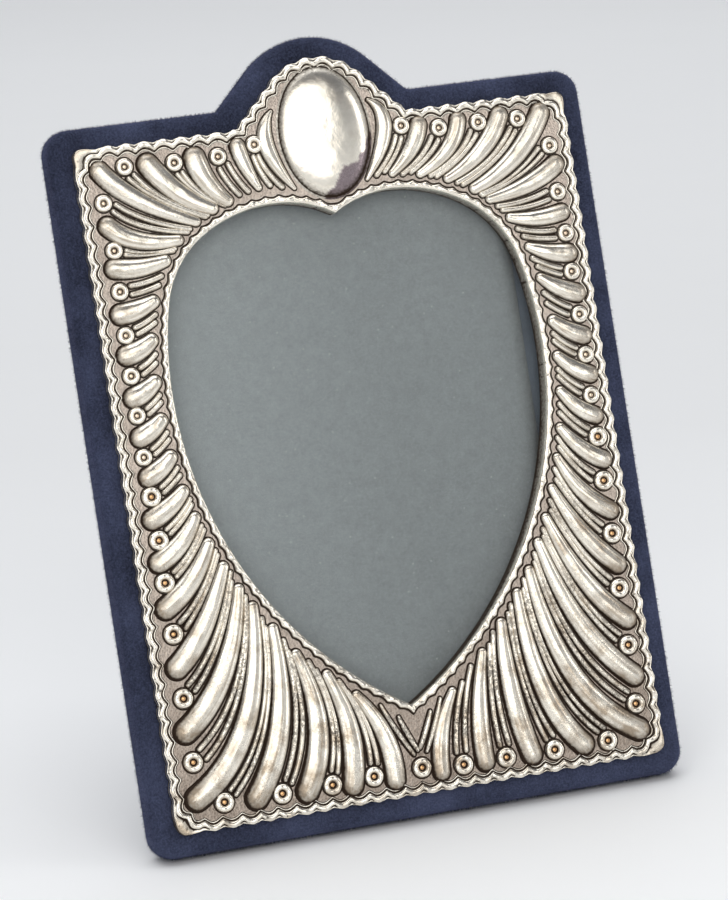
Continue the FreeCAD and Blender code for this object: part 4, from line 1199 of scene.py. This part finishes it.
def between_flutes(above, below, share, t):
    """A point at a share of the way between two flutes, and how far apart they are there."""
    start = flute_edge(above, t, strip_at(below, t)[:2])
    end = flute_edge(below, t, strip_at(above, t)[:2])
    return start.lerp(end, share), (end - start).length


def cleared(shape, gap):
    """A strip cut short where its inner end would come too near the window's border."""
    rim = heart_loop(sizes().rim_width)
    for step in range(CUT_STEPS):
        t = 1.0 - step * 0.01
        x, z, half = strip_at(shape, t)
        if min(math.hypot(x - a, z - b) for a, b in rim) >= half + gap:
            break
    stops = [strip_at(shape, at) for at in (0.0, t / 2, t)]
    return [stop[:2] for stop in stops], [stop[2] for stop in stops]


def reed_rows():
    """The pairs of thin reeds that run from each ring stud to the window between two flutes."""
    s = sizes()
    narrow, wide = REED_HALF_WIDTHS
    rows = []
    for side, flutes, studs in SIDES:
        for i in range(len(flutes) - 1):
            above, below = (flute_shape(side, flutes, k) for k in (i, i + 1))
            stud = Vector((side * studs[i][0] * s.silver_width / 2,
                           studs[i][1] * s.silver_height))
            for share in REED_PLACES:
                centre = functools.partial(between_flutes, above, below, share)

                def from_stud(t):
                    return (centre(t)[0] - stud).length

                start = min((k / 100 for k in range(61)), key=from_stud)
                while start < 0.6 and from_stud(start) < stud_radius(i) + STUD_CLEARANCE:
                    start += 0.01
                stops = [centre(t) for t in (start, (start + REED_END) / 2, REED_END)]
                halves = [min(max(gap * REED_SHARE, narrow), wide) for _, gap in stops]
                rows.append(cleared(([tuple(place) for place, _ in stops], halves),
                                    REED_CLEARANCE))
    for x, z, tip_x, tip_z, half_width in TIP_LEAVES:
        ends = [(x * MM, z * MM), ((x * 0.45 + tip_x * 0.55) * MM, (z * 0.5 + tip_z * 0.5) * MM),
                (tip_x * MM, tip_z * MM)]
        rows.append((ends, [half_width * w * MM for w in LEAF_WIDTHS]))
    return rows


def strips(name, rows, profile_rows, values):
    """A piece of domed strips."""
    spines = spine_curves(name + "_spines", rows)
    profile = profile_guide(name + "_profile", profile_rows, 1)
    raised_piece(name, domed_strip_tree(), {"Spines": spines, **values}, profile, spines)


def bosses(name, spots, profile_rows, steps, values):
    """A piece of round or oval bosses."""
    profile = profile_guide(name + "_profile", profile_rows, steps)
    raised_piece(name, round_boss_tree(), {"Spots": spots, **values}, profile, spots)


def run_shares(points, pitch_at=None):
    """How far along a closed line each of its points is, as a share of the whole, and the whole:
    a length, or where a pitch is given, a count of scallops."""
    total, runs = 0.0, []
    for point, after in zip(points, points[1:] + points[:1]):
        runs.append(total)
        step = math.hypot(after[0] - point[0], after[1] - point[1])
        total += step / pitch_at(point[1]) if pitch_at else step
    return [r / total for r in runs], total


def evenly(first, second, spacing):
    """Two matching closed lines, with new points at even steps along the first."""
    _, total = run_shares(first)
    count = int(total / spacing)
    closed = [[Vector(point) for point in line + line[:1]] for line in (first, second)]
    even, i, done = [], 0, 0.0
    for k in range(count):
        target = total * k / count
        while True:
            step = (closed[0][i + 1] - closed[0][i]).length
            if done + step >= target or i == len(first) - 1:
                break
            done += step
            i += 1
        share = (target - done) / step if step else 0.0
        even.append([tuple(line[i].lerp(line[i + 1], share)) for line in closed])
    return [list(line) for line in zip(*even)]


def facing(line, edge):
    """For each point of a closed line, the point of an edge outside it that lies straight out."""
    found = []
    for i, point in enumerate(line):
        ahead, behind = line[(i + 1) % len(line)], line[i - 1]
        out = Vector((ahead[1] - behind[1], behind[0] - ahead[0])).normalized()
        start = Vector(point)
        far = start + out * LOOK_OUT
        hits = [hit for hit in (intersect_line_line_2d(start, far, a, b)
                                for a, b in zip(edge, edge[1:] + edge[:1])) if hit]
        found.append(tuple(min(hits, key=lambda hit: (hit - start).length)))
    return found


def border(name, line, edge, rows, pitch_at, values):
    """One scalloped border, from its chased line to its edge."""
    depth = sizes().sheet_depth
    runs, scallops = run_shares(line, pitch_at)
    profile = profile_guide(name + "_profile", [
        (out * MM, height * MM, easing, 0.0, tarnish, notch)
        for out, height, easing, tarnish, notch in rows])
    inner = guide(name + "_line", [(x, -depth, z) for x, z in line], run=runs)
    outer = guide(name + "_edge", [(x, -depth, z) for x, z in edge])
    raised_piece(name, scalloped_border_tree(), {
        "Line": inner, "Edge": outer, "Points": len(line), "Scallops": round(scallops), **values,
    }, profile, inner, outer)


class PHOTOFRAME_OT_silver_ground(bpy.types.Operator):
    """Lays the matted silver sheet behind the raised work"""
    bl_idname = "photo_frame.silver_ground"
    bl_label = "Silver Ground"

    def execute(self, context):
        s = sizes()
        shape = bmesh.new()
        for loop in (arch_loop(-GROUND_INSET, GROUND_CORNER, s.shoulder_cove + GROUND_INSET),
                     heart_loop(GROUND_HOLE)):
            verts = [shape.verts.new((x, -s.sheet_depth, z)) for x, z in loop]
            for a, b in zip(verts, verts[1:] + verts[:1]):
                shape.edges.new((a, b))
        bmesh.ops.triangle_fill(shape, edges=shape.edges[:], use_beauty=True)
        face_outwards(shape)
        piece = new_piece("silver_ground", drawn(shape, "silver_ground", "ground"))
        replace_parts(piece, "silver_front")
        return {"FINISHED"}


class PHOTOFRAME_OT_borders(bpy.types.Operator):
    """Chases the scalloped borders along the edge and round the window"""
    bl_idname = "photo_frame.borders"
    bl_label = "Scalloped Borders"

    def execute(self, context):
        s = sizes()
        inset = s.border_inset
        line = arch_loop(-inset, LINE_CORNER, s.shoulder_cove + inset)
        line, _ = evenly(line, line, BORDER_STEP)
        edge = facing(line, arch_loop(0, s.silver_corner, s.shoulder_cove))
        border("outer_border", line, edge, EDGE_ROWS,
               lambda z: s.arch_scallop_pitch if z > s.silver_height else s.scallop_pitch,
               {"Scallop Depth": s.scallop_depth, "Usual Reach": inset, "Edge Waves": 0.45,
                "Unevenness": 0.45 * MM, "Seed": s.seed + 1})
        line, edge = evenly(heart_loop(s.rim_width), heart_loop(0), BORDER_STEP)
        # The lip down into the window is darkest at its foot: painted shade.
        border("window_border", line, edge, (*RIM_ROWS, (1.9, -s.lip_depth / MM, 1, 1, 0)),
               lambda z: s.rim_scallop_pitch,
               {"Scallop Depth": s.rim_scallop_depth, "Usual Reach": s.rim_width,
                "Edge Waves": 0.0, "Unevenness": 0.6 * MM, "Seed": s.seed + 2})
        return {"FINISHED"}


class PHOTOFRAME_OT_flutes(bpy.types.Operator):
    """Raises the flutes that fan out from the window"""
    bl_idname = "photo_frame.flutes"
    bl_label = "Flutes"

    def execute(self, context):
        s = sizes()
        strips("flutes", [cleared(flute_shape(side, flutes, i), FLUTE_CLEARANCE)
                          for side, flutes, _ in SIDES for i in range(len(flutes))],
               dome_rows(13, 2.1, FLUTE_COLLAR, 0.68, 0.9), {
                   "Around": 97, "Relief": s.relief, "Full Half Width": 3.0 * MM,
                   "Dents": 0.3 * MM, "Streaks": 0.28 * MM, "End Shade": 0.8, "Wear": 0.2,
                   "Seed": s.seed})
        strips("reeds", reed_rows(), dome_rows(7, 2.1, REED_COLLAR, 0.62), {
            "Around": 65, "Relief": s.reed_relief, "Full Half Width": 0.7 * MM,
            "Dents": 0.2 * MM, "Streaks": 0.1 * MM, "End Shade": 0.3, "Wear": 0.9,
            "Seed": s.seed + 1})
        return {"FINISHED"}


class PHOTOFRAME_OT_studs(bpy.types.Operator):
    """Sets the ring studs and the plain oval"""
    bl_idname = "photo_frame.studs"
    bl_label = "Studs and Oval"

    def execute(self, context):
        s = sizes()
        half = s.silver_width / 2
        places = [(side * across * half, -s.sheet_depth, up * s.silver_height)
                  for side, _, studs in SIDES for across, up in studs]
        radii = [stud_radius(i) for _, _, studs in SIDES for i in range(len(studs))]
        large = [radius > stud_radius(0) * 1.01 for radius in radii]
        spots = guide("stud_spots", places, half_width=radii, half_height=radii,
                      dome=[radius * 0.42 for radius in radii], patina=[0.0] * len(radii),
                      petals=[0.05 * big for big in large],
                      gilding=[1.0 if big else 0.45 for big in large])
        rows = [(share, 0, lift, 0, dark, gilt) for share, lift, dark, gilt in STUD_ROWS]
        bosses("ring_studs", spots, rows + collar_rows(STUD_COLLAR), 2, {
            "Around": 43, "Dents": 0.1 * MM, "Dent Size": 1.2 * MM, "Seed": s.seed + 2})
        spots = guide("oval_spot", [(0.3 * MM, -s.sheet_depth, s.oval_place)],
                      half_width=[s.oval_half_width], half_height=[s.oval_half_height],
                      dome=[s.oval_dome], petals=[0.0], patina=[1.0], gilding=[0.0])
        bosses("plain_oval", spots, dome_rows(30, 2.5, OVAL_COLLAR, 0.84), 1, {
            "Around": 145, "Dents": 0.28 * MM, "Dent Size": 6.5 * MM, "Seed": s.seed + 3})
        return {"FINISHED"}


def uncovered(face):
    """Whether a face lies in the sliding door's way, under the foot or low on the back."""
    middle = face.calc_center_median()
    wrap = middle.y > WRAP_DEPTH and abs(middle.x) < WRAP_HALF and middle.z < WRAP_HEIGHT
    back = middle.y > BACK_DEPTH and abs(middle.x) < DOOR_HALF and middle.z < BACK_TOP
    return wrap or back


def velvet_skin():
    """The velvet over the body: puffed on the front, round over the edges, flat on the back."""
    s = sizes()
    stops = sorted({k * FOOT_STEP for k in range(-42, 43)}
                   | {-WRAP_HALF, WRAP_HALF, -DOOR_HALF, DOOR_HALF})
    shape = bmesh.new()
    rings = []
    for out, depth in VELVET_SECTION:
        grow = out * MM
        inward = s.velvet_margin - grow
        corner = max(s.velvet_corner - inward, LEAST_CORNER)
        loop = arch_loop(grow, corner, s.velvet_cove + inward, side_count=50, foot_stops=stops)
        rings.append([shape.verts.new((x, depth * MM, z)) for x, z in loop])
    outside = [tuple(vert.co) for vert in rings[-1]]
    for depth in DOOR_DEPTHS:
        rings.append([shape.verts.new((min(max(x, -DOOR_HALF), DOOR_HALF), depth * MM,
                                       min(z, DOOR_TOP))) for x, _, z in outside])
    for first, second in zip(rings, rings[1:]):
        join_rings(shape, first, second)
    bmesh.ops.delete(shape, geom=[f for f in shape.faces if uncovered(f)], context="FACES")
    bmesh.ops.remove_doubles(shape, verts=shape.verts[:], dist=WELD)
    bmesh.ops.dissolve_degenerate(shape, edges=shape.edges[:], dist=WELD)
    face_outwards(shape, lambda face: face.calc_center_median().y < 0)
    return drawn(shape, "velvet_skin", "velvet")


def pile_on(name, cloth_mesh, body, hairs, seed):
    """The pile that stands on a cloth's face, as a piece of its own."""
    s = sizes()
    cloth = linked(name + "_cloth", cloth_mesh)
    mesh = grown(name, pile_tree(), {
        "Cloth": cloth, "Hairs per Area": hairs, "Height": s.pile_height,
        "Hair Radius": HAIR_RADIUS, "Seed": s.seed + seed, "Finish": finish_named("velvet")},
        (cloth,))
    new_piece(name, mesh, body, smooth=False)


class PHOTOFRAME_OT_velvet_body(bpy.types.Operator):
    """Covers the body with velvet"""
    bl_idname = "photo_frame.velvet_body"
    bl_label = "Velvet Body"

    def execute(self, context):
        skin = velvet_skin()
        pile_on("body_pile", skin.copy(), "frame", BODY_HAIRS, 11)
        holder = linked("velvet_skin", skin)
        thick = holder.modifiers.new("Thickness", "SOLIDIFY")
        thick.thickness, thick.offset = VELVET_THICKNESS, -1.0
        piece = new_piece("velvet_body", settled(holder), "frame")
        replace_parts(piece, "velvet_cover")
        return {"FINISHED"}


def softened(name, node, body, width, cloth):
    """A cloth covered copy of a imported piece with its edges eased."""
    shape = bmesh.new()
    shape.from_mesh(frame["nodes"][node].data)
    bmesh.ops.remove_doubles(shape, verts=shape.verts[:], dist=WELD)
    bmesh.ops.dissolve_limit(shape, angle_limit=math.radians(1.0), verts=shape.verts[:],
                             edges=shape.edges[:])
    holder = linked(name, drawn(shape, name, cloth, Matrix()))
    ease = holder.modifiers.new("Eased edges", "BEVEL")
    ease.width, ease.segments = width, 3
    ease.limit_method, ease.angle_limit = "ANGLE", math.radians(40.0)
    mesh = settled(holder)
    piece = new_piece(name, mesh, body, smooth=False)
    mesh.set_sharp_from_angle(angle=math.radians(50.0))
    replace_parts(piece, node)
    return mesh


class PHOTOFRAME_OT_velvet_back(bpy.types.Operator):
    """Covers the sliding back and the strut with velvet"""
    bl_idname = "photo_frame.velvet_back"
    bl_label = "Velvet Back and Strut"

    def execute(self, context):
        for name, node, body, seed in (("back_velvet", "door_velvet", "door", 12),
                                       ("prop_velvet", "strut_velvet", "strut", 13)):
            mesh = softened(name, node, body, 0.22 * MM, "velvet")
            pile_on(name + "_pile", mesh.copy(), body, BACK_HAIRS, seed)
        return {"FINISHED"}


def slipped_card():
    """The grey card: thin, a little bowed, and slipped a little aslant in its pocket."""
    columns, rows, wide = CARD_COLUMNS, CARD_ROWS, CARD_COLUMNS + 1
    cosine, sine = math.cos(CARD_TURN), math.sin(CARD_TURN)
    shape = bmesh.new()
    layers = []
    for depth in CARD_DEPTHS:
        layer = []
        for i in range(wide * (rows + 1)):
            r, c = divmod(i, wide)
            u, v = 2 * c / columns - 1, 2 * r / rows - 1
            bow = CARD_BOW * (1 - u * u) * (1 - v * v) + CARD_RIPPLE * math.sin(3 * u + 2 * v)
            x, z = u * CARD_HALF_WIDTH, v * CARD_HALF_HEIGHT
            layer.append(shape.verts.new((x * cosine + z * sine + CARD_X, depth - bow * 0.6,
                                          z * cosine - x * sine + CARD_Z)))
        layers.append(layer)
    front, rear = layers
    for r in range(rows):
        for c in range(columns):
            i = r * wide + c
            shape.faces.new((front[i], front[i + 1], front[i + 1 + wide], front[i + wide]))
            shape.faces.new((rear[i], rear[i + wide], rear[i + 1 + wide], rear[i + 1]))
    rim = (list(range(wide)) + [r * wide + columns for r in range(1, rows + 1)]
           + [rows * wide + c for c in range(columns - 1, -1, -1)]
           + [r * wide for r in range(rows - 1, 0, -1)])
    join_rings(shape, [rear[i] for i in rim], [front[i] for i in rim])
    bmesh.ops.recalc_face_normals(shape, faces=shape.faces[:])
    return drawn(shape, "slipped_card", "card")


class PHOTOFRAME_OT_glass_and_card(bpy.types.Operator):
    """Slips the grey card in behind the glass, and finishes the glass and the lining"""
    bl_idname = "photo_frame.glass_and_card"
    bl_label = "Glass and Card"

    def execute(self, context):
        coat(("glass_pane",), "glass")
        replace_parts(new_piece("slipped_card", slipped_card(), "frame"), "insert_card")
        softened("lining_cloth", "door_lining", "door", 0.05 * MM, "lining")
        return {"FINISHED"}


class PHOTOFRAME_OT_boards(bpy.types.Operator):
    """Finishes the boards inside the body"""
    bl_idname = "photo_frame.boards"
    bl_label = "Boards"

    def execute(self, context):
        coat(("front_board", "spacer_left", "spacer_right", "spacer_top", "spacer_bottom",
              "runner_left", "runner_right", "runner_top", "back_rim", "door_board",
              "strut_board"), "board")
        coat(("front_packing",), "filler")
        return {"FINISHED"}


class PHOTOFRAME_OT_hinge(bpy.types.Operator):
    """Finishes the hinge, its pin and the rivets"""
    bl_idname = "photo_frame.hinge"
    bl_label = "Hinge and Rivets"

    def execute(self, context):
        coat(("hinge_fixed_leaf", "hinge_moving_leaf", "hinge_pin", "hinge_door_rivets",
              "hinge_strut_rivets", "stay_door_rivet", "stay_strut_rivet"), "nickel")
        return {"FINISHED"}


def coat(nodes, finish_name):
    """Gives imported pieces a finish."""
    for name in nodes:
        node = frame["nodes"][name]
        if not node.material_slots:
            raise RuntimeError(name + " has no material slot")
        for slot in node.material_slots:
            slot.material = finish_named(finish_name)


def opened(y, z):
    """A point on the folded strut, turned with it about the hinge to where it stands open."""
    dy, dz = y - HINGE.y, z - HINGE.z
    cosine, sine = math.cos(STRUT_OPENING), math.sin(STRUT_OPENING)
    return HINGE.y + dy * cosine - dz * sine, HINGE.z + dy * sine + dz * cosine


def ribbon_line():
    """The ribbon's middle line (y, z) from its tab on the door to its tab on the open strut, and
    the two places where the tabs end."""
    bend, far = (DOOR_FACE, DOOR_TAB_TOP), opened(STRUT_FACE, STRUT_TAB_TOP)
    span = Vector(far) - Vector(bend)
    line = [(DOOR_FACE, DOOR_TAB_TOP - RIBBON_TAB), (DOOR_FACE, DOOR_TAB_TOP - RIBBON_TAB / 2),
            bend]
    for k in range(1, 16):
        t = k / 16
        sag = 0.5 * MM * math.sin(math.pi * t)
        line.append((bend[0] + span.x * t, bend[1] + span.y * t - sag))
    line += [far] + [opened(STRUT_FACE, STRUT_TAB_TOP - down)
                     for down in (RIBBON_TAB / 2, RIBBON_TAB)]
    return line, bend, far


def ribbon_band(line):
    """A flat ribbon along a line, thinner at its selvedges."""
    shape = bmesh.new()
    rings = []
    for (y, z), before, after in zip(line, line[:1] + line, line[1:] + line[-1:]):
        along = (Vector(after) - Vector(before)).normalized()
        out = Vector((-along.y, along.x))
        ring = []
        for face in (1, -1):
            for c in range(RIBBON_COLUMNS):
                x = RIBBON_HALF_WIDTH * (2 * c / (RIBBON_COLUMNS - 1) - 1) * face
                edge = 1.0 if abs(abs(x) - RIBBON_HALF_WIDTH) > 0.01 * MM else 0.55
                lift = out * (RIBBON_HALF_THICK * face * edge)
                ring.append(shape.verts.new((x, y + lift.x, z + lift.y)))
        rings.append(ring)
    for first, second in zip(rings, rings[1:]):
        join_rings(shape, first, second)
    for ring in (rings[0], rings[-1]):
        other = ring[::-1]
        for c in range(RIBBON_COLUMNS - 1):
            shape.faces.new((ring[c], ring[c + 1], other[c + 1], other[c]))
    bmesh.ops.recalc_face_normals(shape, faces=shape.faces[:])
    return drawn(shape, "stay_band", "ribbon")


class PHOTOFRAME_OT_ribbon(bpy.types.Operator):
    """Hangs the ribbon that stops the strut"""
    bl_idname = "photo_frame.ribbon"
    bl_label = "Stay Ribbon"

    def execute(self, context):
        line, *tab_ends = ribbon_line()
        mesh = ribbon_band(line)
        mesh.shade_smooth()
        piece = linked("stay_band", mesh)
        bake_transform(piece)
        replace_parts(piece, "stay_ribbon")
        return {"FINISHED"}


def room_around():
    """The world: even light from a pale room, and a backdrop for what looks straight at it."""
    world = bpy.data.worlds.new("Room")
    world.use_nodes = True
    nodes, shades = Nodes(world.node_tree), colours()
    room = nodes.tree.nodes["Background"]
    nodes.feed(room, {"Color": rgba(shades.room), "Strength": studio().room_light})
    upward = nodes.between(nodes.parts(nodes.out("ShaderNodeTexCoord"))[2], 0.12, 0.6)
    backdrop = nodes.out("ShaderNodeBackground", None, {
        "Color": nodes.blend(upward, rgba(shades.backdrop), rgba(shades.ceiling))})
    nodes.feed(nodes.tree.nodes["World Output"], {"Surface": nodes.out(
        "ShaderNodeMixShader", None, {0: seen(nodes), 1: room.outputs[0], 2: backdrop})})
    return world


class PHOTOFRAME_OT_stage(bpy.types.Operator):
    """Sets the floor, the lights and the camera"""
    bl_idname = "photo_frame.stage"
    bl_label = "Studio"

    def execute(self, context):
        scene, st = context.scene, studio()
        scene.view_settings.view_transform = "Standard"
        scene.world = room_around()
        shape = bmesh.new()
        bmesh.ops.create_circle(shape, cap_ends=True, segments=96, radius=FLOOR_RADIUS)
        linked("studio_floor", drawn(shape, "studio_floor", "floor", Matrix()))
        for name, place, size, power, tint in (
                ("key_light", (-0.45, -1.83, 1.18), (2.8, 1.65), st.key_power, (1.0, 0.98, 0.94)),
                ("fill_light", (1.3, -0.8, 0.5), (0.3, 1.0), st.fill_power, (1.0, 0.98, 0.95)),
                ("top_light", (-0.05, 0.35, 1.9), (2.6, 2.2), st.top_power, (0.965, 0.98, 1.0))):
            lamp = bpy.data.lights.new(name, "AREA")
            lamp.shape = "RECTANGLE"
            lamp.size, lamp.size_y = size
            lamp.energy, lamp.color = power, tint
            light = linked(name, lamp)
            light.location = place
            toward = LOOKED_AT - Vector(place)
            light.rotation_euler = toward.to_track_quat("-Z", "Y").to_euler()
            light.visible_camera = False
        camera = linked("camera", bpy.data.cameras.new("camera"))
        camera.location, camera.rotation_euler = st.camera_place, st.camera_turn
        camera.data.lens, camera.data.sensor_width = st.lens, 36.0
        camera.data.clip_start, camera.data.clip_end = 0.05, 50.0
        scene.camera = camera
        return {"FINISHED"}


MAKERS = (PHOTOFRAME_OT_stage, PHOTOFRAME_OT_silver_ground, PHOTOFRAME_OT_borders,
          PHOTOFRAME_OT_flutes, PHOTOFRAME_OT_studs, PHOTOFRAME_OT_velvet_body,
          PHOTOFRAME_OT_velvet_back, PHOTOFRAME_OT_glass_and_card, PHOTOFRAME_OT_boards,
          PHOTOFRAME_OT_hinge, PHOTOFRAME_OT_ribbon)


class PHOTOFRAME_PT_panel(bpy.types.Panel):
    """The photo frame's settings and the buttons that make its pieces"""
    bl_idname = "PHOTOFRAME_PT_panel"
    bl_label = "Photo Frame"
    bl_space_type = "VIEW_3D"
    bl_region_type = "UI"
    bl_category = "Photo Frame"

    def draw(self, context):
        for group in (context.scene.photo_frame_sizes, context.scene.photo_frame_colours,
                      context.scene.photo_frame_studio):
            box = self.layout.box()
            for name in group.__annotations__:
                box.prop(group, name)
        column = self.layout.column(align=True)
        for maker in MAKERS:
            column.operator(maker.bl_idname)


GROUPS = {"photo_frame_sizes": PhotoFrameSizes, "photo_frame_colours": PhotoFrameColours,
          "photo_frame_studio": PhotoFrameStudio}


def register():
    for kind in (*GROUPS.values(), *MAKERS, PHOTOFRAME_PT_panel):
        bpy.utils.register_class(kind)
    for name, group in GROUPS.items():
        setattr(bpy.types.Scene, name, PointerProperty(type=group))


def unregister():
    for name in GROUPS:
        delattr(bpy.types.Scene, name)
    for kind in reversed((*GROUPS.values(), *MAKERS, PHOTOFRAME_PT_panel)):
        bpy.utils.unregister_class(kind)


def main():
    register()
    for maker in MAKERS:
        group, name = maker.bl_idname.split(".")
        getattr(getattr(bpy.ops, group), name)()


if __name__ == "__main__":
    main()
